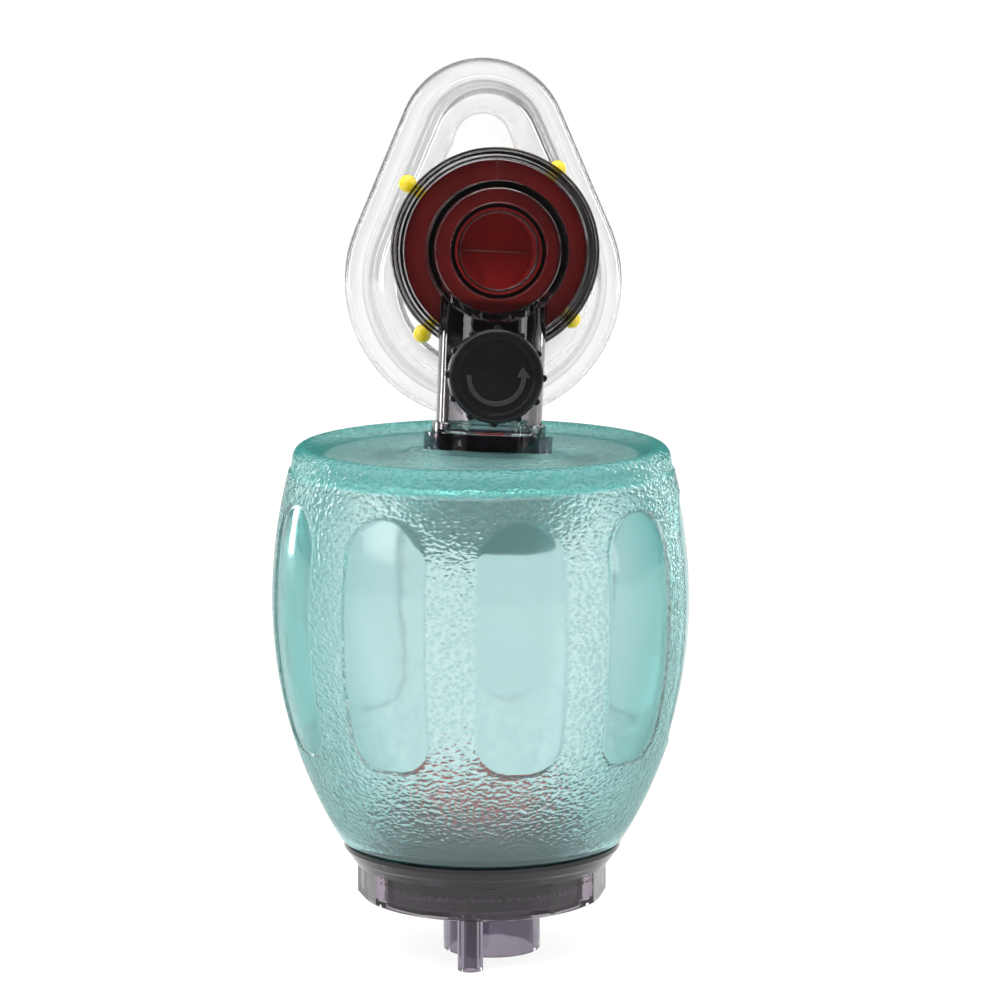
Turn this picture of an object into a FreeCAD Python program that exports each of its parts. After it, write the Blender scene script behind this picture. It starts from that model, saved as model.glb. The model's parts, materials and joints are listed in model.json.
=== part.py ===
import FreeCAD
import Part
import math
import os
import re

import Sketcher
from FreeCAD import Placement, Rotation, Vector

# Bag valve mask: a hand-squeezed resuscitator of child size, in millimetres, +Z up.
# The origin is the centre of the open end of the 22 mm reservoir port. The front, where the
# pop-off valve faces, is -Y; the face mask is at the back, towards +Y. The port sits to one side
# of the inlet cap's centre, so the axis of the bag stands bag_side across from the origin.
# The bag's soft neck lets the patient valve lean back and aside a little, so everything above
# the bag is modelled in a frame of its own: it stands on the bag's neck and leans with it.

SIZES = {
    # inlet cap: 22 mm male port for the oxygen reservoir, and the oxygen nipple
    "port_radius": 11.0,
    "port_bore_radius": 9.5,
    "bag_side": -2.2,
    "inlet_plate_bottom": 12.8,
    "inlet_plate_top": 14.2,
    "inlet_plate_radius": 24.0,
    "inlet_flange_bottom": 14.4,
    "inlet_flange_top": 16.4,
    "inlet_flange_radius": 25.0,
    "inlet_flange_bore": 22.4,
    "nipple_radius": 2.85,
    "nipple_bore_radius": 1.5,
    "nipple_side": -3.5,
    "nipple_front": -20.4,
    # intake nut: twelve flats, holds the inlet cap against the gasket
    "nut_radius": 28.2,
    "nut_bottom": 12.5,
    "nut_top": 20.1,
    "nut_lip_top": 14.3,
    "nut_lip_bore": 24.3,
    "nut_bevel": 1.6,
    "thread_radius": 25.4,
    "gasket_radius": 24.4,
    "gasket_bottom": 16.5,
    # intake collar: threaded skirt, ledge under the bag and flared rim around it
    "skirt_radius": 24.6,
    "skirt_bore": 20.9,
    "skirt_bottom": 17.2,
    "thread_pitch": 1.3,
    "thread_width": 0.6,
    "collar_bottom": 20.4,
    "collar_radius": 28.7,
    "ledge_top": 22.3,
    "rim_radius": 31.4,
    "rim_top": 25.3,
    "rim_wall": 1.0,
    # intake seat inside the bag, its flap and the pin that holds the flap
    "seat_flange_bottom": 24.7,
    "seat_flange_top": 26.2,
    "seat_flange_radius": 26.2,
    "seat_wall": 2.2,
    "seat_top": 33.0,
    "seat_plate": 2.0,
    "seat_hole_radius": 3.7,
    "seat_hole_ring": 11.2,
    "seat_hole_count": 6,
    "flap_radius": 16.0,
    "flap_thickness": 1.0,
    "flap_bore": 2.1,
    "flap_gap": 0.05,
    "flap_lift": 1.5,
    "pin_radius": 1.95,
    "pin_head_radius": 4.2,
    "pin_head": 1.3,
    # bag
    "bag_wall": 1.8,
    "mouth_radius": 21.1,
    "mouth_bottom": 22.5,
    "lip_wall": 2.0,
    "mouth_corner": 27.2,
    "tuck_radius": 29.9,
    "tuck_height": 25.6,
    "foot_radius": 32.1,
    "foot_height": 26.1,
    "belly_radius": 47.13,
    "belly_height": 79.9,
    "lower_curve": 103.8,
    "upper_curve": 116.5,
    "shoulder_radius": 43.2,
    "shoulder_height": 109.9,
    "rim_step": 0.35,
    "crest_radius": 39.6,
    "crest_height": 115.3,
    "crest_curve": 3.0,
    "crest_drop": 2.6,
    "dish_radius": 36.2,
    "dish_height": 113.2,
    # bag's neck and the connector in it, measured along the leaning axis from neck_height
    "neck_height": 113.5,
    "neck_side": 1.35,
    "valve_lean": 6.0,
    "valve_side_lean": 2.6,
    "lip_radius": 17.6,
    "lip_depth": 3.0,
    "neck_wall": 2.4,
    "neck_depth": 21.5,
    "connector_radius": 13.4,
    "connector_bore": 11.35,
    "connector_depth": 16.5,
    "flange_radius": 14.4,
    "flange_thickness": 4.2,
    "ring_depth": 6.0,
    "ring_section": 0.55,
    "running_gap": 0.1,
    # patient valve housing; valve_rise is the height of its centre above the neck
    "valve_rise": 45.0,
    "spigot_bore": 9.6,
    "spigot_bead": 1.6,
    "bead_radius": 11.9,
    "foot_disc_radius": 12.8,
    "foot_disc": 2.2,
    "tube_radius": 11.9,
    "tube_bore": 10.2,
    "tube_roof": 1.7,
    "chamber_radius": 15.6,
    "chamber_wall": 1.7,
    "chamber_front": 12.0,
    "plate_front": 1.2,
    "plate_back": 0.5,
    "inlet_seat_back": 2.5,
    "ring_radius": 22.4,
    "ring_wall": 1.5,
    "ring_back": 8.0,
    "ring_front": 2.4,
    "trim_radius": 10.7,
    "trim_bore": 8.6,
    "trim_height": 0.9,
    "rib_width": 1.1,
    # rear cover with the 22/15 mm patient port
    "cover_radius": 23.3,
    "cover_wall": 1.6,
    "outlet_seat_front": 5.4,
    "outlet_seat_radius": 13.5,
    "outlet_seat_bore": 11.5,
    "cover_bore": 9.8,
    "patient_bore": 7.5,
    "patient_bore_start": 18.0,
    "patient_end": 34.0,
    "window_inner": 14.9,
    "window_outer": 19.9,
    "window_half_angle": 14.0,
    "window_count": 8,
    # lip valve: a floating silicone disc with a duckbill
    "lip_disc_radius": 20.4,
    "lip_disc_front": 2.6,
    "lip_disc": 1.0,
    "bill_radius": 9.3,
    "bill_wall": 0.9,
    "bill_tip": 12.2,
    "bill_lip": 0.9,
    "bill_slit": 0.08,
    # pop-off valve, measured forwards from the tube's axis
    "popoff_rise": 17.6,
    "boss_radius": 9.0,
    "boss_front": 19.0,
    "boss_bore": 7.6,
    "popoff_seat": 13.0,
    "popoff_hole": 3.2,
    "popoff_seal_radius": 5.2,
    "popoff_seal": 0.95,
    "poppet_radius": 5.6,
    "poppet_disc": 1.2,
    "poppet_nub": 1.9,
    "poppet_stem": 1.4,
    "poppet_end": 20.2,
    "poppet_fillet": 1.0,
    "spring_radius": 3.3,
    "spring_wire": 0.25,
    "spring_turns": 4.5,
    "knob_radius": 10.35,
    "knob_bore": 9.1,
    "knob_back": 14.4,
    "knob_front": 24.0,
    "knob_face": 1.6,
    "knob_recess_radius": 8.4,
    "knob_recess": 0.6,
    "knob_guide_radius": 2.6,
    "knob_guide_bore": 1.7,
    "knob_guide_back": 18.6,
    "knob_round": 0.8,
    "grip_radius": 0.8,
    "grip_count": 12,
    "mark_radius": 6.0,
    "mark_width": 1.0,
    "mark_height": 0.35,
    "arrow_width": 3.0,
    "arrow_length": 2.4,
    # face mask: outline is the hull of a chin circle and a nose circle
    "socket_radius": 13.3,
    "socket_bore": 11.1,
    "socket_front": 18.0,
    "dome_front": 29.5,
    "dome_middle": 39.0,
    "dome_back": 51.0,
    "dome_wall": 1.4,
    "chin_radius": 32.8,
    "chin_centre": -6.9,
    "nose_radius": 20.0,
    "nose_centre": 25.8,
    "side_angle": 23.0,
    "throat_radius": 14.2,
    "throat_centre": 2.0,
    "throat_angle": 6.0,
    "cushion_section": 6.6,
    "cushion_wall": 0.8,
    "cushion_level": 56.8,
    "dome_inset": 5.2,
    "dome_middle_inset": 8.6,
    # head-strap hook ring on the mask's socket
    "hook_ring_bore": 13.45,
    "hook_ring_radius": 16.6,
    "hook_ring_front": 24.6,
    "hook_ring_back": 27.8,
    "hook_arm_radius": 1.35,
    "hook_reach": 24.4,
    "hook_ball": 2.1,
    "hook_turn": 37.2,
    "hook_count": 4,
}

FORMULA_WORDS = ("cos", "sin", "sqrt", "deg")
FULL_TURN = 360

doc = FreeCAD.newDocument("bag_valve_mask")
sheet = doc.addObject("Spreadsheet::Sheet", "sizes")
sub_parts = []


# ---------------------------------------------------------------- the sizes sheet

def fill_sheet():
    for row, (name, size) in enumerate(SIZES.items(), start=1):
        sheet.set("A%d" % row, name)
        sheet.set("B%d" % row, str(size))
        sheet.setAlias("B%d" % row, name)
    doc.recompute()


def on_sheet(formula):
    """The formula with each size's name pointing at its cell."""
    def point(found):
        word = found.group(0)
        return word if word in FORMULA_WORDS else "sizes." + word
    return re.sub(r"[a-z][a-z_]+", point, formula)


def size(formula):
    """The value of a formula written with the names of sizes."""
    return float(sheet.evalExpression(on_sheet(formula)))


def bind(thing, field, formula):
    thing.setExpression(field, on_sheet(formula))


# ---------------------------------------------------------------- sketches

def new_body(label):
    body = doc.addObject("PartDesign::Body", label)
    body.Label = label
    sub_parts.append(body)
    return body


def new_sketch(body, name, plane, level="0"):
    """A sketch on one of the body's own origin planes, moved out along its normal to level."""
    sketch = body.newObject("Sketcher::SketchObject", name + "_sketch")
    support = [item for item in body.Origin.OriginFeatures if item.Role == plane][0]
    sketch.AttachmentSupport = [(support, "")]
    sketch.MapMode = "FlatFace"
    bind(sketch, "AttachmentOffset.Base.z", level)
    return sketch


def hold(sketch, kind, geometry, point, formula):
    """Hold a point's place, or an arc's radius, at a formula of the sheet."""
    if kind == "Radius":
        constraint = Sketcher.Constraint(kind, geometry, size(formula))
    else:
        constraint = Sketcher.Constraint(kind, -1, 1, geometry, point, size(formula))
    number = sketch.addConstraint(constraint)
    if re.search("[a-z]", formula):
        bind(sketch, "Constraints[%d]" % number, formula)


def draw_circle(sketch, across, up, radius):
    centre = Vector(size(across), size(up), 0)
    number = sketch.addGeometry(Part.Circle(centre, Vector(0, 0, 1), size(radius)), False)
    hold(sketch, "DistanceX", number, 3, across)
    hold(sketch, "DistanceY", number, 3, up)
    hold(sketch, "Radius", number, 0, radius)


def arc_between(start, end, radius, bend):
    """The short arc from start to end; its centre is left of the way for bend +1, right for -1."""
    way = end - start
    left = Vector(-way.y, way.x, 0).normalize()
    height = math.sqrt(max(radius ** 2 - (way.Length / 2) ** 2, 0))
    centre = (start + end) * 0.5 + left * (bend * height)
    first, last = (start, end) if bend > 0 else (end, start)
    first_angle = math.atan2(first.y - centre.y, first.x - centre.x)
    last_angle = math.atan2(last.y - centre.y, last.x - centre.x)
    if last_angle < first_angle:
        last_angle += 2 * math.pi
    circle = Part.Circle(centre, Vector(0, 0, 1), radius)
    return Part.ArcOfCircle(circle, first_angle, last_angle)


def draw_outline(sketch, corners):
    """A closed outline. A corner is (across, up) when a straight run ends there, or
    (across, up, radius, bend) when an arc does."""
    places = [Vector(size(corner[0]), size(corner[1]), 0) for corner in corners]
    heads = []
    tails = []
    for index, corner in enumerate(corners):
        start = places[index - 1]
        end = places[index]
        if len(corner) == 2:
            number = sketch.addGeometry(Part.LineSegment(start, end), False)
            head, tail = 1, 2
        else:
            arc = arc_between(start, end, size(corner[2]), corner[3])
            number = sketch.addGeometry(arc, False)
            head, tail = (1, 2) if corner[3] > 0 else (2, 1)
            hold(sketch, "Radius", number, 0, corner[2])
        heads.append((number, head))
        tails.append((number, tail))
    for index, corner in enumerate(corners):
        number, tail = tails[index]
        following = heads[(index + 1) % len(corners)]
        sketch.addConstraint(Sketcher.Constraint("Coincident", number, tail, *following))
        hold(sketch, "DistanceX", number, tail, corner[0])
        hold(sketch, "DistanceY", number, tail, corner[1])


def draw_rectangle(sketch, left, bottom, right, top):
    draw_outline(sketch, [(left, bottom), (right, bottom), (right, top), (left, top)])


# ---------------------------------------------------------------- features

def add_feature(body, kind, name, sketch):
    feature = body.newObject("PartDesign::" + kind, name)
    feature.Profile = sketch
    return feature


def finish_feature(body, feature, removes):
    """Recompute, and stop if a cut takes nothing away or an addition adds nothing."""
    before = body.Shape.Volume if not body.Shape.isNull() else 0
    doc.recompute()
    change = body.Shape.Volume - before
    if (removes and change >= 0) or (not removes and change <= 0):
        raise RuntimeError("%s on %s changes the volume by %.3f" % (feature.Name, body.Label, change))
    return feature


def turn(body, name, corners, cut=False):
    """Revolve an outline of (radius, height) corners about the body's Z axis."""
    sketch = new_sketch(body, name, "XZ_Plane")
    draw_outline(sketch, corners)
    feature = add_feature(body, "Groove" if cut else "Revolution", name, sketch)
    feature.ReferenceAxis = (sketch, ["V_Axis"])
    feature.Angle = FULL_TURN
    return finish_feature(body, feature, cut)


def pad(body, name, sketch, length, backwards=False):
    feature = add_feature(body, "Pad", name, sketch)
    bind(feature, "Length", length)
    feature.Reversed = backwards
    return finish_feature(body, feature, False)


def pocket(body, name, sketch, length, backwards=False):
    feature = add_feature(body, "Pocket", name, sketch)
    bind(feature, "Length", length)
    feature.Reversed = backwards
    return finish_feature(body, feature, True)


def repeat_around(body, name, feature, count):
    """Repeat a feature evenly around the body's Z axis."""
    pattern = body.newObject("PartDesign::PolarPattern", name)
    pattern.Originals = [feature]
    pattern.Axis = ([item for item in body.Origin.OriginFeatures if item.Role == "Z_Axis"][0], [""])
    pattern.Angle = FULL_TURN
    bind(pattern, "Occurrences", count)
    body.Tip = pattern
    return pattern


# ---------------------------------------------------------------- frames

def bag_frame():
    """Stands on the axis of the bag and of the intake end."""
    return Placement(Vector(size("bag_side"), 0, 0), Rotation())


def neck_frame():
    """Stands on the bag's neck, leaning back by valve_lean and aside by valve_side_lean."""
    aside = Rotation(Vector(0, 1, 0), size("valve_side_lean"))
    backwards = Rotation(Vector(1, 0, 0), -size("valve_lean"))
    return Placement(Vector(size("neck_side"), 0, size("neck_height")), aside * backwards)


def valve_frame():
    return bag_frame() * neck_frame()


def facing_back(rise):
    """A frame on the patient valve's axis whose Z points back and whose Y points up."""
    return valve_frame() * Placement(Vector(0, 0, size(rise)), Rotation(Vector(0, 1, 1), 180))


def facing_front(rise):
    """A frame whose Z points to the front and whose Y points up."""
    return valve_frame() * Placement(Vector(0, 0, size(rise)), Rotation(Vector(1, 0, 0), 90))


def mask_frame():
    """The mask is turned on the patient port until it stands upright."""
    upright = Rotation(Vector(0, 0, 1), -size("valve_side_lean"))
    return facing_back("valve_rise") * Placement(Vector(), upright)


# ---------------------------------------------------------------- the intake end

def reservoir_inlet_cap():
    body = new_body("reservoir_inlet_cap")
    turn(body, "cap_turning", [
        ("0", "inlet_plate_bottom"),
        ("inlet_plate_radius", "inlet_plate_bottom"),
        ("inlet_plate_radius", "inlet_flange_bottom"),
        ("inlet_flange_radius", "inlet_flange_bottom"),
        ("inlet_flange_radius", "inlet_flange_top"),
        ("inlet_flange_bore", "inlet_flange_top"),
        ("inlet_flange_bore", "inlet_plate_top"),
        ("0", "inlet_plate_top"),
    ])
    sketch = new_sketch(body, "port", "XY_Plane")
    draw_circle(sketch, "-bag_side", "0", "port_radius")
    pad(body, "port", sketch, "(inlet_plate_bottom + inlet_plate_top) / 2")
    sketch = new_sketch(body, "port_bore", "XY_Plane")
    draw_circle(sketch, "-bag_side", "0", "port_bore_radius")
    pocket(body, "port_bore", sketch, "inlet_flange_top", backwards=True)
    sketch = new_sketch(body, "nipple", "XY_Plane")
    draw_circle(sketch, "nipple_side", "nipple_front", "nipple_radius")
    pad(body, "nipple", sketch, "(inlet_plate_bottom + inlet_plate_top) / 2")
    sketch = new_sketch(body, "nipple_bore", "XY_Plane")
    draw_circle(sketch, "nipple_side", "nipple_front", "nipple_bore_radius")
    pocket(body, "nipple_bore", sketch, "inlet_flange_top", backwards=True)
    body.Placement = bag_frame()


def intake_nut():
    body = new_body("intake_nut")
    sides = 12
    sketch = new_sketch(body, "flats", "XY_Plane", "nut_bottom")
    corners = []
    for side in range(sides):
        angle = FULL_TURN * side / sides
        corners.append(("nut_radius * cos(%g deg)" % angle, "nut_radius * sin(%g deg)" % angle))
    draw_outline(sketch, corners)
    pad(body, "flats", sketch, "nut_top - nut_bottom")
    turn(body, "bore", [
        ("0", "nut_bottom - nut_bevel"),
        ("nut_lip_bore", "nut_bottom - nut_bevel"),
        ("nut_lip_bore", "nut_lip_top"),
        ("thread_radius", "nut_lip_top"),
        ("thread_radius", "nut_top + nut_bevel"),
        ("0", "nut_top + nut_bevel"),
    ], cut=True)
    turn(body, "bevel", [
        ("nut_radius - nut_bevel", "nut_bottom"),
        ("nut_radius - nut_bevel", "nut_bottom - nut_bevel"),
        ("nut_radius + nut_bevel", "nut_bottom - nut_bevel"),
        ("nut_radius + nut_bevel", "nut_bottom + nut_bevel"),
    ], cut=True)
    body.Placement = bag_frame()


def inlet_gasket():
    body = new_body("inlet_gasket")
    turn(body, "gasket", [
        ("skirt_bore", "gasket_bottom"),
        ("gasket_radius", "gasket_bottom"),
        ("gasket_radius", "skirt_bottom"),
        ("skirt_bore", "skirt_bottom"),
    ])
    body.Placement = bag_frame()


def intake_collar():
    body = new_body("intake_collar")
    threads = 2
    corners = [("skirt_bore", "skirt_bottom"), ("skirt_radius", "skirt_bottom")]
    for number in range(threads):
        foot = "skirt_bottom + thread_width + %d * thread_pitch" % number
        corners += [
            ("skirt_radius", foot),
            ("thread_radius", foot),
            ("thread_radius", foot + " + thread_width"),
            ("skirt_radius", foot + " + thread_width"),
        ]
    corners += [
        ("skirt_radius", "collar_bottom"),
        ("collar_radius", "collar_bottom"),
        ("rim_radius", "rim_top - rim_wall"),
        ("rim_radius", "rim_top"),
        ("rim_radius - rim_wall", "rim_top"),
        ("collar_radius - rim_wall", "ledge_top"),
        ("skirt_bore", "ledge_top"),
    ]
    turn(body, "collar", corners)
    body.Placement = bag_frame()


def intake_seat():
    body = new_body("intake_seat")
    turn(body, "seat", [
        ("skirt_bore - seat_wall", "skirt_bottom"),
        ("skirt_bore", "skirt_bottom"),
        ("skirt_bore", "seat_flange_bottom"),
        ("seat_flange_radius", "seat_flange_bottom"),
        ("seat_flange_radius", "seat_flange_top"),
        ("skirt_bore", "seat_flange_top"),
        ("skirt_bore", "seat_top - seat_plate"),
        ("skirt_bore - seat_wall", "seat_top"),
        ("pin_radius", "seat_top"),
        ("pin_radius", "seat_top - seat_plate"),
        ("skirt_bore - seat_wall", "seat_top - seat_plate"),
    ])
    sketch = new_sketch(body, "air_hole", "XY_Plane", "seat_top")
    draw_circle(sketch, "seat_hole_ring", "0", "seat_hole_radius")
    hole = pocket(body, "air_hole", sketch, "seat_plate")
    repeat_around(body, "air_holes", hole, "seat_hole_count")
    body.Placement = bag_frame()


def intake_flap():
    body = new_body("intake_flap")
    bottom = "seat_top + flap_gap"
    turn(body, "flap", [
        ("flap_bore", bottom),
        ("flap_radius", bottom),
        ("flap_radius", bottom + " + flap_thickness / 2"),
        ("flap_bore * 2", bottom + " + flap_thickness"),
        ("flap_bore", bottom + " + flap_thickness"),
    ])
    body.Placement = bag_frame()


def flap_pin():
    body = new_body("flap_pin")
    head = "seat_top + flap_thickness + flap_lift + 2 * flap_gap"
    turn(body, "pin", [
        ("0", "seat_top - seat_plate - pin_head"),
        ("pin_radius", "seat_top - seat_plate - pin_head"),
        ("pin_radius + pin_head / 2", "seat_top - seat_plate"),
        ("pin_radius", "seat_top - seat_plate"),
        ("pin_radius", head),
        ("pin_head_radius", head),
        ("pin_head_radius", head + " + pin_head / 3"),
        ("pin_head_radius - pin_head", head + " + pin_head"),
        ("0", head + " + pin_head"),
    ])
    body.Placement = bag_frame()


# ---------------------------------------------------------------- the bag

def leaning_sketch(body, name):
    """A sketch through the neck's leaning axis."""
    sketch = body.newObject("Sketcher::SketchObject", name + "_sketch")
    plane = [item for item in body.Origin.OriginFeatures if item.Role == "YZ_Plane"][0]
    sketch.AttachmentSupport = [(plane, "")]
    sketch.MapMode = "FlatFace"
    doc.recompute()
    upright = sketch.Placement
    sketch.AttachmentOffset = upright.inverse() * neck_frame() * upright
    return sketch


def turn_leaning(body, name, corners, cut=False):
    sketch = leaning_sketch(body, name)
    draw_outline(sketch, corners)
    feature = add_feature(body, "Groove" if cut else "Revolution", name, sketch)
    feature.ReferenceAxis = (sketch, ["V_Axis"])
    feature.Angle = FULL_TURN
    return finish_feature(body, feature, cut)


def bag():
    body = new_body("bag")
    floor = "mouth_bottom + lip_wall"
    turn(body, "shell", [
        ("mouth_radius", "mouth_bottom"),
        ("mouth_corner", "mouth_bottom"),
        ("tuck_radius", "tuck_height"),
        ("foot_radius", "foot_height"),
        ("belly_radius", "belly_height", "lower_curve", 1),
        ("shoulder_radius", "shoulder_height", "upper_curve", 1),
        ("shoulder_radius - rim_step", "shoulder_height + rim_step"),
        ("shoulder_radius - 2 * rim_step", "crest_height - crest_drop"),
        ("crest_radius", "crest_height", "crest_curve", 1),
        ("dish_radius", "dish_height"),
        ("0", "dish_height"),
        ("0", "dish_height - bag_wall"),
        ("crest_radius", "dish_height - bag_wall"),
        ("shoulder_radius - bag_wall", "shoulder_height"),
        ("belly_radius - bag_wall", "belly_height", "upper_curve - bag_wall", -1),
        ("foot_radius - bag_wall", "foot_height + bag_wall / 2", "lower_curve - bag_wall", -1),
        ("mouth_corner - rim_step", floor),
        ("mouth_radius", floor),
    ])
    turn_leaning(body, "neck", [
        ("0", "0"),
        ("lip_radius", "0"),
        ("lip_radius", "-lip_depth"),
        ("connector_radius + neck_wall", "-2 * lip_depth"),
        ("connector_radius + neck_wall", "-neck_depth"),
        ("0", "-neck_depth"),
    ])
    turn_leaning(body, "neck_bore", [
        ("0", "2 * lip_depth"),
        ("0", "-neck_depth - lip_depth"),
        ("connector_radius", "-neck_depth - lip_depth"),
        ("connector_radius", "0"),
        ("lip_radius", "0"),
        ("lip_radius", "2 * lip_depth"),
    ], cut=True)
    body.Placement = bag_frame()


# ---------------------------------------------------------------- the neck connector

def neck_connector():
    body = new_body("neck_connector")
    groove = "connector_bore + 2 * ring_section - running_gap / 2"
    turn(body, "connector", [
        ("connector_bore", "-connector_depth"),
        ("connector_radius", "-connector_depth"),
        ("connector_radius", "0"),
        ("flange_radius", "0"),
        ("flange_radius", "flange_thickness"),
        ("connector_bore", "flange_thickness"),
        ("connector_bore", "-ring_depth + ring_section + running_gap"),
        (groove, "-ring_depth + ring_section + running_gap"),
        (groove, "-ring_depth - ring_section - running_gap"),
        ("connector_bore", "-ring_depth - ring_section - running_gap"),
    ])
    body.Placement = valve_frame()


def neck_seal():
    body = new_body("neck_seal")
    sketch = new_sketch(body, "seal_section", "XZ_Plane")
    draw_circle(sketch, "connector_bore + ring_section - running_gap / 2", "-ring_depth", "ring_section")
    ring = add_feature(body, "Revolution", "seal", sketch)
    ring.ReferenceAxis = (sketch, ["V_Axis"])
    ring.Angle = FULL_TURN
    finish_feature(body, ring, False)
    body.Placement = valve_frame()


# ---------------------------------------------------------------- the patient valve

def valve_housing():
    body = new_body("valve_housing")
    foot = "flange_thickness + running_gap - valve_rise"
    roof = "-cover_radius - 4 * running_gap"

    sketch = new_sketch(body, "tube", "XY_Plane", foot)
    draw_circle(sketch, "0", "0", "tube_radius")
    pad(body, "tube", sketch, roof + " - (" + foot + ")")

    sketch = new_sketch(body, "duct", "XY_Plane", roof)
    draw_outline(sketch, [
        ("-tube_radius", "plate_back"),
        ("-tube_radius", "0"),
        ("0", "-tube_radius", "tube_radius", 1),
        ("tube_radius", "0", "tube_radius", 1),
        ("tube_radius", "plate_back"),
    ])
    pad(body, "duct", sketch, "-chamber_radius / 2 - (" + roof + ")")

    sketch = new_sketch(body, "foot_disc", "XY_Plane", foot)
    draw_circle(sketch, "0", "0", "foot_disc_radius")
    pad(body, "foot_disc", sketch, "foot_disc")

    sketch = new_sketch(body, "boss", "XZ_Plane")
    draw_circle(sketch, "0", "popoff_rise - valve_rise", "boss_radius")
    pad(body, "boss", sketch, "boss_front")

    sketch = new_sketch(body, "chamber", "XZ_Plane", "-plate_back")
    draw_circle(sketch, "0", "0", "chamber_radius")
    pad(body, "chamber", sketch, "chamber_front + plate_back")

    sketch = new_sketch(body, "plate", "XZ_Plane", "-plate_back")
    draw_circle(sketch, "0", "0", "ring_radius")
    pad(body, "plate", sketch, "plate_front + plate_back")

    sketch = new_sketch(body, "front_lip", "XZ_Plane", "plate_front")
    draw_circle(sketch, "0", "0", "ring_radius")
    draw_circle(sketch, "0", "0", "ring_radius - ring_wall")
    pad(body, "front_lip", sketch, "ring_front - plate_front")

    sketch = new_sketch(body, "ring", "XZ_Plane", "-plate_back")
    draw_circle(sketch, "0", "0", "ring_radius")
    draw_circle(sketch, "0", "0", "ring_radius - ring_wall")
    pad(body, "ring", sketch, "ring_back - plate_back", backwards=True)

    sketch = new_sketch(body, "inlet_seat", "XZ_Plane", "-plate_back")
    draw_circle(sketch, "0", "0", "chamber_radius")
    draw_circle(sketch, "0", "0", "chamber_radius - chamber_wall")
    pad(body, "inlet_seat", sketch, "inlet_seat_back - plate_back", backwards=True)

    sketch = new_sketch(body, "trim_ring", "XZ_Plane", "chamber_front")
    draw_circle(sketch, "0", "0", "trim_radius")
    draw_circle(sketch, "0", "0", "trim_bore")
    pad(body, "trim_ring", sketch, "trim_height")

    sketch = new_sketch(body, "top_rib", "XZ_Plane", "plate_front")
    draw_rectangle(sketch, "-rib_width / 2", "chamber_radius - chamber_wall / 2",
                   "rib_width / 2", "ring_radius - ring_wall / 2")
    pad(body, "top_rib", sketch, "ring_front - plate_front")

    sketch = new_sketch(body, "chamber_hollow", "XZ_Plane", "chamber_front - chamber_wall")
    draw_circle(sketch, "0", "0", "chamber_radius - chamber_wall")
    pocket(body, "chamber_hollow", sketch, "chamber_front + inlet_seat_back")

    sketch = new_sketch(body, "tube_hollow", "XY_Plane", roof + " - tube_roof")
    draw_circle(sketch, "0", "0", "tube_bore")
    pocket(body, "tube_hollow", sketch, roof + " - tube_roof - (" + foot + ")")

    sketch = new_sketch(body, "duct_hollow", "XY_Plane", "-chamber_radius / 2")
    half_width = "sqrt(tube_bore ^ 2 - plate_front ^ 2)"
    draw_outline(sketch, [
        ("-" + half_width, "-plate_front"),
        ("0", "-tube_bore", "tube_bore", 1),
        (half_width, "-plate_front", "tube_bore", 1),
    ])
    pocket(body, "duct_hollow", sketch, "2 * tube_roof - chamber_radius / 2 - (" + roof + ")")

    spigot_bottom = "-connector_depth - running_gap - spigot_bead - valve_rise"
    spigot_radius = "connector_bore - running_gap"
    turn(body, "spigot", [
        ("spigot_bore", spigot_bottom),
        ("bead_radius - spigot_bead / 4", spigot_bottom),
        ("bead_radius", "-connector_depth - running_gap - valve_rise"),
        (spigot_radius, "-connector_depth - running_gap - valve_rise"),
        (spigot_radius, foot),
        ("foot_disc_radius", foot),
        ("foot_disc_radius", foot + " + foot_disc / 4"),
        ("tube_bore", foot + " + foot_disc / 4"),
        ("spigot_bore", foot),
    ])

    sketch = new_sketch(body, "popoff_hole", "XZ_Plane", "boss_front")
    draw_circle(sketch, "0", "popoff_rise - valve_rise", "popoff_hole")
    pocket(body, "popoff_hole", sketch, "boss_front")

    sketch = new_sketch(body, "popoff_hollow", "XZ_Plane", "boss_front")
    draw_circle(sketch, "0", "popoff_rise - valve_rise", "boss_bore")
    pocket(body, "popoff_hollow", sketch, "boss_front - popoff_seat")

    body.Placement = valve_frame() * Placement(Vector(0, 0, size("valve_rise")), Rotation())


def rear_cover():
    body = new_body("rear_cover")
    wall_back = "ring_back + cover_wall"
    skirt_bore = "ring_radius + running_gap"
    turn(body, "cover", [
        ("outlet_seat_bore", "outlet_seat_front"),
        ("outlet_seat_radius", "outlet_seat_front"),
        ("outlet_seat_radius", "ring_back"),
        (skirt_bore, "ring_back"),
        (skirt_bore, "plate_back + running_gap"),
        ("cover_radius", "plate_back + running_gap"),
        ("cover_radius", wall_back),
        ("outlet_seat_radius", wall_back),
        ("port_radius", wall_back + " + cover_wall"),
        ("port_radius", "patient_end"),
        ("patient_bore", "patient_end"),
        ("patient_bore", "patient_bore_start"),
        ("cover_bore", "patient_bore_start - 2 * cover_wall"),
        ("cover_bore", "ring_back"),
        ("outlet_seat_bore", "ring_back - cover_wall"),
    ])
    sketch = new_sketch(body, "window", "XY_Plane", wall_back)
    half = "window_half_angle * 1 deg"
    draw_outline(sketch, [
        ("window_inner * cos(%s)" % half, "-window_inner * sin(%s)" % half, "window_inner", -1),
        ("window_outer * cos(%s)" % half, "-window_outer * sin(%s)" % half),
        ("window_outer * cos(%s)" % half, "window_outer * sin(%s)" % half, "window_outer", 1),
        ("window_inner * cos(%s)" % half, "window_inner * sin(%s)" % half),
    ])
    window = pocket(body, "window", sketch, "cover_wall")
    repeat_around(body, "windows", window, "window_count")
    body.Placement = facing_back("valve_rise")


def combine_many(kind, name, shapes):
    thing = doc.addObject("Part::" + kind, name)
    thing.Shapes = shapes
    return thing


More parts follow.
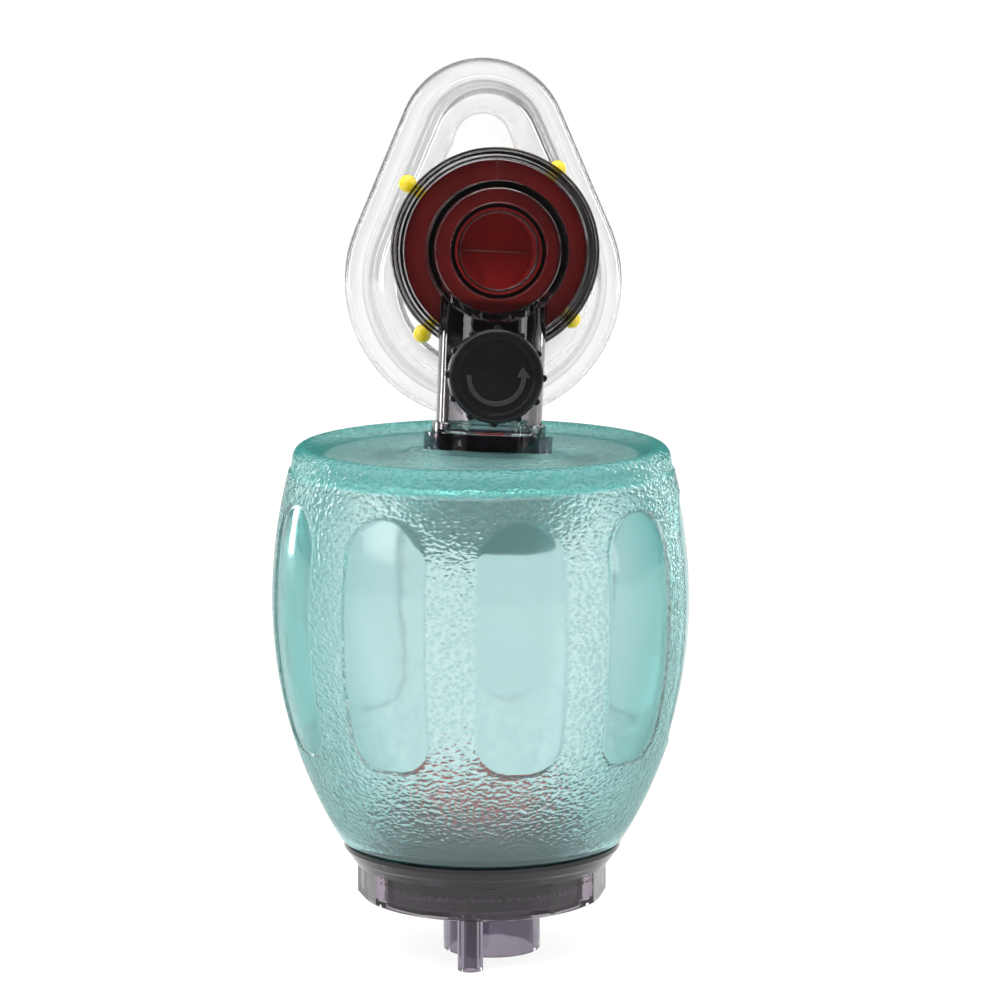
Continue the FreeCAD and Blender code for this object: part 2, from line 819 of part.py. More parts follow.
def duckbill_solid(name, radius, front, tip, lip):
    """A round stub whose two flats close on a straight lip."""
    stub = doc.addObject("Part::Cylinder", name + "_round")
    bind(stub, "Radius", radius)
    bind(stub, "Height", tip + " - (" + front + ")")
    bind(stub, "Placement.Base.z", front)
    wedge = doc.addObject("Part::Wedge", name + "_flats")
    bind(wedge, "Ymin", front)
    bind(wedge, "Ymax", tip)
    for axis, reach in (("X", radius), ("X2", radius), ("Z", radius), ("Z2", lip)):
        bind(wedge, axis + "min", "-(%s)" % reach)
        bind(wedge, axis + "max", reach)
    wedge.Placement = Placement(Vector(), Rotation(Vector(1, 0, 0), 90))
    return combine_many("MultiCommon", name, [stub, wedge])


def lip_valve():
    disc = doc.addObject("Part::Cylinder", "lip_disc")
    bind(disc, "Radius", "lip_disc_radius")
    bind(disc, "Height", "lip_disc")
    bind(disc, "Placement.Base.z", "lip_disc_front")
    outside = duckbill_solid("bill_outside", "bill_radius", "lip_disc_front", "bill_tip", "bill_lip")
    inside = duckbill_solid("bill_inside", "bill_radius - bill_wall", "lip_disc_front",
                            "bill_tip - bill_wall", "bill_slit / 2")
    slit = doc.addObject("Part::Box", "bill_slit_cut")
    bind(slit, "Length", "2 * (bill_radius - 2 * bill_wall)")
    bind(slit, "Width", "bill_slit")
    bind(slit, "Height", "2 * bill_wall")
    bind(slit, "Placement.Base.x", "2 * bill_wall - bill_radius")
    bind(slit, "Placement.Base.y", "-bill_slit / 2")
    bind(slit, "Placement.Base.z", "bill_tip - 1.5 * bill_wall")
    whole = combine_many("MultiFuse", "lip_whole", [disc, outside])
    hollow = combine_many("MultiFuse", "lip_hollow", [inside, slit])
    valve = doc.addObject("Part::Cut", "lip_valve")
    valve.Label = "lip_valve"
    valve.Base = whole
    valve.Tool = hollow
    valve.Placement = facing_back("valve_rise")
    sub_parts.append(valve)


# ---------------------------------------------------------------- the pop-off valve

def popoff_poppet():
    body = new_body("popoff_poppet")
    disc_back = "popoff_seat + popoff_seal + flap_gap"
    disc_front = disc_back + " + poppet_disc"
    turn(body, "poppet", [
        ("0", "popoff_seat - poppet_disc"),
        ("poppet_nub - poppet_disc / 3", "popoff_seat - poppet_disc"),
        ("poppet_nub", "popoff_seat - poppet_disc / 2"),
        ("poppet_nub", disc_back),
        ("poppet_radius", disc_back),
        ("poppet_radius", disc_front),
        ("poppet_stem + poppet_fillet", disc_front),
        ("poppet_stem", disc_front + " + poppet_fillet"),
        ("poppet_stem", "poppet_end"),
        ("0", "poppet_end"),
    ])
    body.Placement = facing_front("popoff_rise")


def popoff_seal():
    body = new_body("popoff_seal")
    turn(body, "seal", [
        ("poppet_nub", "popoff_seat + flap_gap"),
        ("popoff_seal_radius", "popoff_seat + flap_gap"),
        ("popoff_seal_radius", "popoff_seat + flap_gap + popoff_seal"),
        ("poppet_nub", "popoff_seat + flap_gap + popoff_seal"),
    ])
    body.Placement = facing_front("popoff_rise")


def popoff_spring():
    body = new_body("popoff_spring")
    foot = "popoff_seat + popoff_seal + flap_gap + poppet_disc + spring_wire"
    head = "knob_front - knob_recess - knob_face - spring_wire"
    sketch = new_sketch(body, "wire", "XZ_Plane")
    draw_circle(sketch, "spring_radius", foot, "spring_wire")
    coil = add_feature(body, "AdditiveHelix", "coil", sketch)
    coil.ReferenceAxis = (sketch, ["V_Axis"])
    coil.Mode = "height-turns-angle"
    coil.Angle = 0
    bind(coil, "Height", head + " - (" + foot + ")")
    bind(coil, "Turns", "spring_turns")
    finish_feature(body, coil, False)
    body.Placement = facing_front("popoff_rise")


def popoff_knob():
    body = new_body("popoff_knob")
    recess_floor = "knob_front - knob_recess"
    inside = recess_floor + " - knob_face"
    turn(body, "knob", [
        ("knob_bore", "knob_back"),
        ("knob_radius", "knob_back"),
        ("knob_radius", "knob_front - knob_round"),
        ("knob_radius - knob_round", "knob_front", "knob_round", 1),
        ("knob_recess_radius", "knob_front"),
        ("knob_recess_radius - knob_recess / 2", recess_floor),
        ("0", recess_floor),
        ("0", inside),
        ("knob_guide_bore", inside),
        ("knob_guide_bore", "knob_guide_back"),
        ("knob_guide_radius", "knob_guide_back"),
        ("knob_guide_radius", inside),
        ("knob_bore", inside),
    ])
    sketch = new_sketch(body, "grip", "XY_Plane", "knob_back + grip_radius")
    draw_circle(sketch, "knob_radius", "0", "grip_radius")
    grip = pad(body, "grip", sketch, "knob_front - knob_round - knob_back - 1.5 * grip_radius")
    repeat_around(body, "grips", grip, "grip_count")
    sketch = new_sketch(body, "mark", "YZ_Plane")
    draw_rectangle(sketch, "-mark_radius - mark_width / 2", recess_floor + " - mark_height",
                   "-mark_radius + mark_width / 2", recess_floor + " + mark_height")
    arc = add_feature(body, "Revolution", "mark", sketch)
    arc.ReferenceAxis = (sketch, ["V_Axis"])
    arc.Midplane = True
    arc.Angle = FULL_TURN / 2
    finish_feature(body, arc, False)
    sketch = new_sketch(body, "arrow", "XY_Plane", recess_floor)
    draw_outline(sketch, [
        ("mark_radius - arrow_width / 2", "0"),
        ("mark_radius + arrow_width / 2", "0"),
        ("mark_radius - mark_width / 3", "arrow_length"),
    ])
    pad(body, "arrow", sketch, "mark_height")
    body.Placement = facing_front("popoff_rise")


# ---------------------------------------------------------------- the face mask

def draw_pear(sketch, nose, nose_centre, chin, chin_centre, angle):
    """The hull of a nose circle above and a chin circle below; the sides leave both at angle."""
    across = "cos(%s * 1 deg)" % angle
    up = "sin(%s * 1 deg)" % angle
    hip = ("(%s) * %s" % (chin, across), "%s + (%s) * %s" % (chin_centre, chin, up))
    cheek = ("(%s) * %s" % (nose, across), "%s + (%s) * %s" % (nose_centre, nose, up))
    draw_outline(sketch, [
        hip + (chin, 1),
        cheek,
        ("-" + cheek[0], cheek[1], nose, 1),
        ("-" + hip[0], hip[1]),
        ("0", "%s - (%s)" % (chin_centre, chin), chin, 1),
    ])


def draw_mask_outline(sketch, inset):
    nose = "nose_radius - (%s)" % inset
    chin = "chin_radius - (%s)" % inset
    draw_pear(sketch, nose, "nose_centre", chin, "chin_centre", "side_angle")


def dome_sections(body, name, wall):
    """Three outlines of the dome, each drawn in by the wall's thickness."""
    throat = new_sketch(body, name + "_throat", "XY_Plane", "dome_front + " + wall)
    draw_pear(throat, "throat_radius - " + wall, "throat_centre", "throat_radius - " + wall, "-throat_centre",
              "throat_angle")
    middle = new_sketch(body, name + "_middle", "XY_Plane", "dome_middle + " + wall)
    draw_mask_outline(middle, "dome_middle_inset + " + wall)
    back = new_sketch(body, name + "_back", "XY_Plane", "dome_back")
    draw_mask_outline(back, "dome_inset + " + wall)
    return throat, [middle, back]


def mask_dome():
    body = new_body("mask_dome")
    throat, others = dome_sections(body, "outside", "0")
    outside = add_feature(body, "AdditiveLoft", "outside", throat)
    outside.Sections = others
    finish_feature(body, outside, False)
    turn(body, "socket", [
        ("0", "socket_front"),
        ("socket_radius", "socket_front"),
        ("socket_radius", "dome_front + dome_wall"),
        ("0", "dome_front + dome_wall"),
    ])
    throat, others = dome_sections(body, "inside", "dome_wall")
    inside = add_feature(body, "SubtractiveLoft", "inside", throat)
    inside.Sections = others
    finish_feature(body, inside, True)
    turn(body, "socket_bore", [
        ("0", "socket_front - dome_wall"),
        ("socket_bore", "socket_front - dome_wall"),
        ("socket_bore", "patient_end + dome_wall"),
        ("0", "patient_end + dome_wall"),
    ], cut=True)
    body.Placement = mask_frame()


def mask_cushion():
    body = new_body("mask_cushion")
    path = new_sketch(body, "path", "XY_Plane", "cushion_level")
    draw_mask_outline(path, "cushion_section")
    for kind, name, radius, removes in (
        ("AdditivePipe", "tube", "cushion_section", False),
        ("SubtractivePipe", "air_space", "cushion_section - cushion_wall", True),
    ):
        section = new_sketch(body, name, "YZ_Plane")
        draw_circle(section, "chin_centre - chin_radius + cushion_section", "cushion_level", radius)
        pipe = add_feature(body, kind, name, section)
        pipe.Spine = path
        finish_feature(body, pipe, removes)
    body.Placement = mask_frame()


def hook_ring():
    body = new_body("hook_ring")
    level = "(hook_ring_front + hook_ring_back) / 2"
    sketch = new_sketch(body, "arm", "XZ_Plane")
    bind(sketch, "AttachmentOffset.Base.y", level)
    root = "(hook_ring_bore + hook_ring_radius) / 2"
    shoulder = "hook_reach - sqrt(hook_ball ^ 2 - hook_arm_radius ^ 2)"
    draw_outline(sketch, [
        (root, "0"),
        ("hook_reach + hook_ball", "0"),
        (shoulder, "hook_arm_radius", "hook_ball", 1),
        (root, "hook_arm_radius"),
    ])
    arm = add_feature(body, "Revolution", "arm", sketch)
    arm.ReferenceAxis = (sketch, ["H_Axis"])
    arm.Angle = FULL_TURN
    finish_feature(body, arm, False)
    repeat_around(body, "arms", arm, "hook_count")
    turn(body, "ring", [
        ("hook_ring_bore", "hook_ring_front"),
        ("hook_ring_radius", "hook_ring_front"),
        ("hook_ring_radius", "hook_ring_back"),
        ("hook_ring_bore", "hook_ring_back"),
    ])
    turned = Rotation(Vector(0, 0, 1), size("hook_turn"))
    body.Placement = facing_back("valve_rise") * Placement(Vector(), turned)


# ---------------------------------------------------------------- build, check and write

def check_document():
    for thing in doc.Objects:
        if "Invalid" in thing.State or "Error" in thing.State:
            raise RuntimeError("%s is %s" % (thing.Name, thing.State))
    for part in sub_parts:
        if part.Shape.isNull() or not part.Shape.isValid():
            raise RuntimeError("%s has no valid shape" % part.Label)
        if len(part.Shape.Solids) != 1:
            raise RuntimeError("%s has %d solids" % (part.Label, len(part.Shape.Solids)))


fill_sheet()
for build in (reservoir_inlet_cap, intake_nut, inlet_gasket, intake_collar, intake_seat, intake_flap,
              flap_pin, bag, neck_connector, neck_seal, valve_housing, rear_cover, lip_valve,
              popoff_poppet, popoff_seal, popoff_spring, popoff_knob,
              mask_dome, mask_cushion, hook_ring):
    build()
doc.recompute()
check_document()
os.makedirs("parts", exist_ok=True)
for part in sub_parts:
    part.Shape.exportStep("parts/%s.step" % part.Label)
    print("%-22s %9.1f mm3" % (part.Label, part.Shape.Volume))
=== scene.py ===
import json
from math import atan2, cos, pi, radians, sin, sqrt

import bpy
import numpy as np
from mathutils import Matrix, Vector


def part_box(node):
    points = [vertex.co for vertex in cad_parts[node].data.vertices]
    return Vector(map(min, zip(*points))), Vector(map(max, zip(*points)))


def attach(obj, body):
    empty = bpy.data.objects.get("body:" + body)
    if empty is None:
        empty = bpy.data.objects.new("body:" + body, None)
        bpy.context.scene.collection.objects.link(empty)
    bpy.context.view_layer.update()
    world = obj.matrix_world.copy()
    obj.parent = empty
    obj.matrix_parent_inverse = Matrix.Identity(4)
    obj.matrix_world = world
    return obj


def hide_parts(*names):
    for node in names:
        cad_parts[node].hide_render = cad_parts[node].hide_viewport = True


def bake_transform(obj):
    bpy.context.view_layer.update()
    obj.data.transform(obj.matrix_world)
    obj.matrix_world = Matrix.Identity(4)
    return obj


# Bag valve mask, in metres. The bag, the mask's shell and cushion, the lip valve and the pop-off
# spring are made here as detailed meshes; every other piece is the CAD node with its own material.

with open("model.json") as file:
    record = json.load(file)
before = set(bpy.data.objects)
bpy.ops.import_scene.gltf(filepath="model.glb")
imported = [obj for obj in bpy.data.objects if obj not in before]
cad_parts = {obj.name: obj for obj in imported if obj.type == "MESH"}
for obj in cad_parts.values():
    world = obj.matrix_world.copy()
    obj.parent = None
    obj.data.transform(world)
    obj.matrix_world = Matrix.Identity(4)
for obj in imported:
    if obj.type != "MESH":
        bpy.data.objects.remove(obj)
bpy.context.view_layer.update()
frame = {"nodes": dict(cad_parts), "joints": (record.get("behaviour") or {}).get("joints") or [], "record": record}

MM = 0.001
nodes = frame["nodes"]
joints = {joint["name"]: joint for joint in frame["joints"]}

# The bag's axis, and the patient valve's own axes: it leans back and aside on the bag's neck.
AXIS = np.array(joints["inlet_swivel"]["pos_m"])
NECK = np.array(joints["valve_swivel"]["pos_m"])
VALVE = np.array(joints["mask_swivel"]["pos_m"])
POPOFF = np.array(joints["popoff_knob_turn"]["pos_m"])
UP = np.array(joints["valve_swivel"]["axis"])
BACK = np.array(joints["mask_swivel"]["axis"])
SIDE = np.cross(BACK, UP)

# The mask is turned on the valve until it stands upright.
SIDE_LEAN = atan2(UP[0], UP[2])
MASK_UP = UP * cos(SIDE_LEAN) - SIDE * sin(SIDE_LEAN)
MASK_SIDE = SIDE * cos(SIDE_LEAN) + UP * sin(SIDE_LEAN)


# ---------------------------------------------------------------- meshes

def smoothstep(low, high, value):
    share = np.clip((value - low) / (high - low), 0, 1)
    return share * share * (3 - 2 * share)


def line(start, end, steps):
    """Points from start up to, but not at, end."""
    share = np.linspace(0, 1, steps, endpoint=False)[:, None]
    return np.array(start) * (1 - share) + np.array(end) * share


def arc(start, end, radius, bend, steps):
    """Points of the short arc from start up to end; its centre is left of the way for bend +1."""
    start = np.array(start)
    end = np.array(end)
    way = end - start
    length = np.hypot(*way)
    left = np.array((-way[1], way[0])) / length
    centre = (start + end) / 2 + left * bend * sqrt(max(radius ** 2 - length ** 2 / 4, 0))
    first = atan2(*(start - centre)[::-1])
    turn = atan2(*(end - centre)[::-1]) - first
    turn = (turn + pi) % (2 * pi) - pi
    angles = first + turn * np.linspace(0, 1, steps, endpoint=False)
    return centre + radius * np.stack((np.cos(angles), np.sin(angles)), axis=1)


def spread(low, high, count, places, width, crowding):
    """count numbers from low to high, closer together near the given places."""
    fine = np.linspace(low, high, 20 * count)
    nearest = np.min(np.abs(fine[:, None] - np.array(places)[None, :]), axis=1)
    density = 1 + crowding * np.exp(-(nearest / width) ** 2)
    total = np.cumsum(density)
    total = (total - total[0]) / (total[-1] - total[0])
    return np.interp(np.linspace(0, 1, count), total, fine)


def ring_faces(rows, columns, first=0):
    """Quads of a grid that closes on itself both ways; first is the index of its first point."""
    row = np.arange(rows)[:, None]
    column = np.arange(columns)[None, :]
    next_row = (row + 1) % rows
    next_column = (column + 1) % columns
    corners = (row * columns + column, row * columns + next_column,
               next_row * columns + next_column, next_row * columns + column)
    return np.stack(np.broadcast_arrays(*corners), axis=-1).reshape(-1, 4) + first


def new_piece(name, points, faces, body):
    """A smooth mesh; it rides the body, unless body is None."""
    mesh = bpy.data.meshes.new(name)
    mesh.from_pydata(points.reshape(-1, 3).tolist(), [], [list(map(int, face)) for face in faces])
    mesh.validate()
    mesh.polygons.foreach_set("use_smooth", [True] * len(mesh.polygons))
    piece = bpy.data.objects.new(name, mesh)
    bpy.context.scene.collection.objects.link(piece)
    if body:
        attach(piece, body)
    return piece


def keep_number(piece, name, values):
    """Store one number for each point, for the material to read."""
    attribute = piece.data.attributes.new(name, "FLOAT", "POINT")
    attribute.data.foreach_set("value", np.ascontiguousarray(values, dtype=np.float32).ravel())


def keep_place(piece, name, points):
    """Store each point's place at rest, so that a texture stays put when the piece bends."""
    attribute = piece.data.attributes.new(name, "FLOAT_VECTOR", "POINT")
    attribute.data.foreach_set("vector", np.ascontiguousarray(points, dtype=np.float32).ravel())


# ---------------------------------------------------------------- material helpers

FAR = 1.0   # metres: farther than any point of the object

def add(tree, kind, values=None, **settings):
    """A new node; values holds numbers for its sockets, or the sockets that feed them."""
    node = tree.nodes.new("ShaderNode" + kind)
    for name, setting in settings.items():
        setattr(node, name, setting)
    for name, value in (values or {}).items():
        if isinstance(value, bpy.types.NodeSocket):
            tree.links.new(value, node.inputs[name])
        else:
            node.inputs[name].default_value = value
    return node


def new_material(name):
    material = bpy.data.materials.new(name)
    material.use_nodes = True
    material.node_tree.nodes.clear()
    return material, material.node_tree


def finish_material(tree, values):
    """A principled shader with the given numbers and sockets, on the output."""
    shader = add(tree, "BsdfPrincipled", values)
    add(tree, "OutputMaterial", {"Surface": shader.outputs["BSDF"]})


def noise(tree, scale, detail=3.0, place=None, roughness=0.5):
    """A noise pattern; scale is in lumps per metre."""
    place = place or add(tree, "TexCoord").outputs["Object"]
    return add(tree, "TexNoise", {"Vector": place, "Scale": scale, "Detail": detail,
                                  "Roughness": roughness}).outputs["Fac"]


def remap(tree, value, low, high, from_low=0.3, from_high=0.7):
    """The value stretched from the usual span of a noise, or from from_low to from_high."""
    return add(tree, "MapRange", {"Value": value, "From Min": from_low, "From Max": from_high,
                                  "To Min": low, "To Max": high}).outputs["Result"]


def mix_colours(tree, share, first, second):
    """The first colour where share is 0, the second where it is 1."""
    return add(tree, "Mix", {0: share, 6: first, 7: second}, data_type="RGBA").outputs[2]


def calculate(tree, operation, first, second=0.0):
    return add(tree, "Math", {0: first, 1: second}, operation=operation).outputs[0]


def bump(tree, height, depth, rounding=0.0):
    """Relief; depth and the radius of the rounding of edges are in metres."""
    values = {"Height": height, "Distance": depth}
    if rounding:
        values["Normal"] = add(tree, "Bevel", {"Radius": rounding}, samples=6).outputs["Normal"]
    return add(tree, "Bump", values).outputs["Normal"]


def vectors(tree, operation, first, second=(0, 0, 0), output=0):
    return add(tree, "VectorMath", {0: first, 1: second}, operation=operation).outputs[output]


def from_place(tree, centre):
    """Each shaded point as seen from the given centre."""
    return vectors(tree, "SUBTRACT", add(tree, "TexCoord").outputs["Object"], tuple(centre))


def from_axis(tree, place, axis):
    """How far each place is from the axis through the centre."""
    return vectors(tree, "LENGTH", vectors(tree, "CROSS_PRODUCT", place, tuple(axis)), output="Value")


def along(tree, place, axis):
    return vectors(tree, "DOT_PRODUCT", place, tuple(axis), "Value")


def band(tree, value, low, high, soft):
    """1 from low to high, fading to 0 over soft either side."""
    rise = remap(tree, value, 0.0, 1.0, low - soft, low)
    fall = remap(tree, value, 0.0, 1.0, high + soft, high)
    return product(tree, rise, fall)


def over(tree, value, low, soft):
    """1 above low, fading to 0 over soft below it."""
    return band(tree, value, low, FAR, soft)


def under(tree, value, high, soft):
    """1 below high, fading to 0 over soft above it."""
    return band(tree, value, -FAR, high, soft)


def product(tree, first, second):
    return calculate(tree, "MULTIPLY", first, second)


def larger(tree, first, second):
    return calculate(tree, "MAXIMUM", first, second)


def attribute(tree, name):
    return add(tree, "Attribute", attribute_name=name)


def edge_share(tree, blend):
    """0 where a surface faces the eye and 1 where it is seen edge on."""
    return add(tree, "LayerWeight", {"Blend": blend}).outputs["Facing"]


# ---------------------------------------------------------------- materials

ACRYLIC_IOR = 1.49

# where the clear valve is painted dark, standing in for the dark edges of walls seen end on and for shade in its
# tube: its rings in mm, and the walls and throat of its tube
PAINTED_DARK_RINGS = ((22.75, 23.1), (21.85, 22.2), (20.85, 21.2), (14.3, 15.4), (9.7, 10.4), (8.7, 8.9))
TUBE_RADIUS = 11.9 * MM
TUBE_TOP = TUBE_RADIUS * 0.5
TUBE_WALL_INSIDE = TUBE_RADIUS - 1.3 * MM
TUBE_WALL_OUTSIDE = TUBE_RADIUS - 0.4 * MM
TUBE_WALL_START = 14.8 * MM
THROAT_REACH = 27.0 * MM
THROAT_SHADE = 0.60

# silicones: the disc in the dark valve, and the flap seen through the bag, painted brighter than the disc to make
# up for the shade of the bag
DISC_REDS = (0.52, 0.010, 0.008, 1), (0.40, 0.007, 0.006, 1)
FLAP_REDS_PAINTED_BRIGHTER = (0.95, 0.07, 0.05, 1), (0.85, 0.05, 0.04, 1)

# the bag's grain, and its milkier teal rim
GRAIN_WANDER = 1.5 * MM
RIM_TINT = 0.8
RIM_TRANSMISSION = 0.62

# the raised mark on the knob
KNOB_MARK_RADIUS = 7.4 * MM
KNOB_MARK_LEVEL = 23.6 * MM


def clear_plastic(name, tint, edge_tint, roughness, transmission=1.0):
    """Polished moulded plastic: faint flow marks in its colour, gloss and surface."""
    material, tree = new_material(name)
    clouds = noise(tree, 90.0)
    body_colour = mix_colours(tree, remap(tree, clouds, 0.0, 1.0), tint,
                              (*[0.93 * part for part in tint[:3]], 1.0))
    colour = mix_colours(tree, edge_share(tree, 0.35), body_colour, edge_tint)
    finish_material(tree, {
        "Base Color": colour,
        "Roughness": remap(tree, noise(tree, 700.0), roughness * 0.6, roughness * 1.4),
        "IOR": ACRYLIC_IOR,
        "Transmission Weight": transmission,
        "Normal": bump(tree, noise(tree, 260.0, 2.0), 0.06 * MM),
    })
    return material


def valve_plastic():
    """Clear smoky plastic, painted dark where a wall of the valve runs from front to back, standing in for the
    dark edges such walls show, with painted shade down the tube's throat.
    """
    material, tree = new_material("clear_smoke_polished")
    place = from_place(tree, VALVE)
    radius = from_axis(tree, place, BACK)
    across = calculate(tree, "ABSOLUTE", along(tree, place, SIDE))
    rise = along(tree, place, UP)
    over_tube = product(tree, under(tree, across, TUBE_RADIUS, 0.2 * MM),
                        under(tree, rise, -TUBE_TOP, 0.2 * MM))
    beside_tube = calculate(tree, "SUBTRACT", 1.0, over_tube)
    painted_dark = 0.0
    # painted dark rings where the valve's walls are seen end on
    for low, high in PAINTED_DARK_RINGS:
        ring = band(tree, radius, low * MM, high * MM, 0.1 * MM)
        if low * MM > TUBE_RADIUS:
            ring = product(tree, ring, beside_tube)
        painted_dark = larger(tree, painted_dark, ring)
    # the tube's walls, painted dark where they are seen end on
    tube_wall = band(tree, across, TUBE_WALL_INSIDE, TUBE_WALL_OUTSIDE, 0.25 * MM)
    tube_wall = product(tree, tube_wall, over(tree, radius, TUBE_WALL_START, 0.3 * MM))
    painted_dark = larger(tree, painted_dark, product(tree, tube_wall, over_tube))
    # painted shade down the tube's throat, where dark parts behind it show through
    throat = product(tree, over_tube, band(tree, rise, -THROAT_REACH, -TUBE_RADIUS, 1.5 * MM))
    painted_dark = larger(tree, painted_dark, product(tree, throat, THROAT_SHADE))
    clear = mix_colours(tree, edge_share(tree, 0.62), (0.72, 0.70, 0.72, 1), (0.02, 0.018, 0.022, 1))
    finish_material(tree, {
        "Base Color": mix_colours(tree, painted_dark, clear, (0.012, 0.010, 0.011, 1)),
        "Roughness": remap(tree, noise(tree, 700.0), 0.02, 0.05),
        "IOR": ACRYLIC_IOR,
        "Transmission Weight": 1.0,
        "Normal": bump(tree, noise(tree, 260.0, 2.0), 0.02 * MM, 0.35 * MM),
    })
    return material


def silicone(name, colour, deep_colour, roughness):
    """Soft satin rubber with a dusty mottle."""
    material, tree = new_material(name)
    mottle = mix_colours(tree, remap(tree, noise(tree, 150.0, 5.0), 0.0, 1.0), colour, deep_colour)
    finish_material(tree, {
        "Base Color": mottle,
        "Roughness": remap(tree, noise(tree, 500.0), roughness - 0.08, roughness + 0.08),
        "Specular IOR Level": 0.3,
        "Normal": bump(tree, noise(tree, 2500.0), 0.03 * MM),
    })
    return material


def moulded_plastic(name, colour, roughness, grain_depth, coat=0.0):
    """Solid moulded plastic with a fine spark-eroded grain."""
    material, tree = new_material(name)
    shade = mix_colours(tree, remap(tree, noise(tree, 120.0), 0.0, 1.0), colour,
                        (*[0.8 * part for part in colour[:3]], 1.0))
    finish_material(tree, {
        "Base Color": shade,
        "Roughness": remap(tree, noise(tree, 900.0), roughness * 0.8, roughness * 1.25),
        "Coat Weight": coat,
        "Coat Roughness": 0.12,
        "Normal": bump(tree, noise(tree, 4000.0, 4.0), grain_depth, 0.25 * MM),
    })
    return material


def knob_plastic():
    """Black satin plastic; the arc and arrow raised on the knob's face are coloured paler."""
    material, tree = new_material("black_plastic_satin")
    place = from_place(tree, POPOFF)
    mark = product(tree, under(tree, from_axis(tree, place, BACK), KNOB_MARK_RADIUS, 0.1 * MM),
                   over(tree, along(tree, place, -BACK), KNOB_MARK_LEVEL, 0.1 * MM))
    shade = mix_colours(tree, remap(tree, noise(tree, 120.0), 0.0, 1.0), (0.006, 0.006, 0.007, 1),
                        (0.009, 0.009, 0.010, 1))
    finish_material(tree, {
        "Base Color": mix_colours(tree, mark, shade, (0.030, 0.030, 0.031, 1)),
        "Roughness": remap(tree, noise(tree, 900.0), 0.16, 0.24),
        "Specular IOR Level": 0.25,
        "Coat Weight": 0.1,
        "Coat Roughness": 0.1,
        "Normal": bump(tree, noise(tree, 1500.0, 3.0), 0.006 * MM, 0.3 * MM),
    })
    return material


def spring_steel():
    """Drawn wire: bright, with fine draw marks."""
    material, tree = new_material("spring_steel_drawn")
    marks = noise(tree, 6000.0, 2.0)
    finish_material(tree, {
        "Base Color": mix_colours(tree, marks, (0.62, 0.62, 0.64, 1), (0.82, 0.82, 0.84, 1)),
        "Metallic": 1.0,
        "Roughness": remap(tree, marks, 0.18, 0.34),
        "Normal": bump(tree, marks, 0.01 * MM),
    })
    return material


def bag_vinyl():
    """Translucent teal vinyl. Its windows are smooth, and a crinkled grain covers the rest.

    The mesh holds four numbers for it: rest, a point's place in the unbent bag; grain, how grained
    it is; edge, how far it goes teal where it is seen edge on; rim, how milky and teal it is."""
    material, tree = new_material("bag_vinyl_crinkled")
    rest = attribute(tree, "rest").outputs["Vector"]
    grain_share = attribute(tree, "grain").outputs["Fac"]
    edge_strength = attribute(tree, "edge").outputs["Fac"]
    rim = attribute(tree, "rim").outputs["Fac"]
    wander = add(tree, "TexNoise", {"Vector": rest, "Scale": 450.0, "Detail": 1.0}).outputs["Color"]
    moved = vectors(tree, "ADD", rest, vectors(tree, "MULTIPLY", wander, (GRAIN_WANDER,) * 3))
    flattened = vectors(tree, "MULTIPLY", moved, (1.0, 1.0, 1.6))
    cells = add(tree, "TexVoronoi", {"Vector": flattened, "Scale": 820.0, "Smoothness": 0.5},
                feature="SMOOTH_F1").outputs["Distance"]
    ripple = noise(tree, 110.0, 2.0, rest)
    height = calculate(tree, "ADD", product(tree, cells, grain_share), product(tree, ripple, 0.35))
    cloudy = remap(tree, noise(tree, 60.0, 3.0, rest), 0.0, 1.0)
    smooth_colour = mix_colours(tree, cloudy, (0.66, 0.80, 0.80, 1), (0.62, 0.78, 0.78, 1))
    # the grain's own pattern, with painted highlights and painted shade: its cells go from deep teal to near white
    grain_colour_painted_light = mix_colours(tree, remap(tree, cells, 0.0, 1.0, 0.15, 0.6), (0.49, 0.73, 0.72, 1),
                                 (0.88, 0.98, 0.97, 1))
    face_colour = mix_colours(tree, grain_share, smooth_colour, grain_colour_painted_light)
    edge = product(tree, remap(tree, edge_share(tree, 0.5), 0.0, 1.0, 0.13, 0.80), edge_strength)
    edge = larger(tree, edge, product(tree, rim, RIM_TINT))
    colour = mix_colours(tree, edge, face_colour, (0.05, 0.50, 0.46, 1))
    finish_material(tree, {
        "Base Color": colour,
        "Roughness": remap(tree, grain_share, 0.10, 0.22, 0.0, 1.0),
        "IOR": 1.40,
        "Transmission Weight": remap(tree, rim, 0.93, RIM_TRANSMISSION, 0.0, 1.0),
        "Normal": bump(tree, height, 0.42 * MM),
    })
    return material


def mask_vinyl(name, tint, edge_tint, roughness):
    """Clear soft vinyl, polished, with slow ripples from its mould."""
    material, tree = new_material(name)
    colour = mix_colours(tree, edge_share(tree, 0.5), tint, edge_tint)
    finish_material(tree, {
        "Base Color": colour,
        "Roughness": remap(tree, noise(tree, 300.0), roughness * 0.6, roughness * 1.5),
        "IOR": 1.20,
        "Transmission Weight": 0.94,
        "Normal": bump(tree, noise(tree, 80.0, 2.0), 0.08 * MM),
    })
    return material


# ---------------------------------------------------------------- the bag

bag_low, bag_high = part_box("bag")
CLEARANCE = 0.05 * MM
BELLY_RADIUS = (bag_high[0] - bag_low[0]) / 2
BELLY_HEIGHT = 79.9 * MM
BAG_WALL = 1.8 * MM
LOWER_CURVE = 103.8 * MM
UPPER_CURVE = 116.5 * MM

# the mouth that the intake holds
BAG_FOOT = bag_low[2] + CLEARANCE
MOUTH_FLOOR = bag_low[2] + 2.0 * MM
MOUTH_RADIUS = 21.2 * MM
MOUTH_LEDGE = 27.0 * MM
TUCK = (29.9 * MM, 25.65 * MM)
FOOT = (32.1 * MM, 26.15 * MM)
INNER_LEDGE = 26.9 * MM

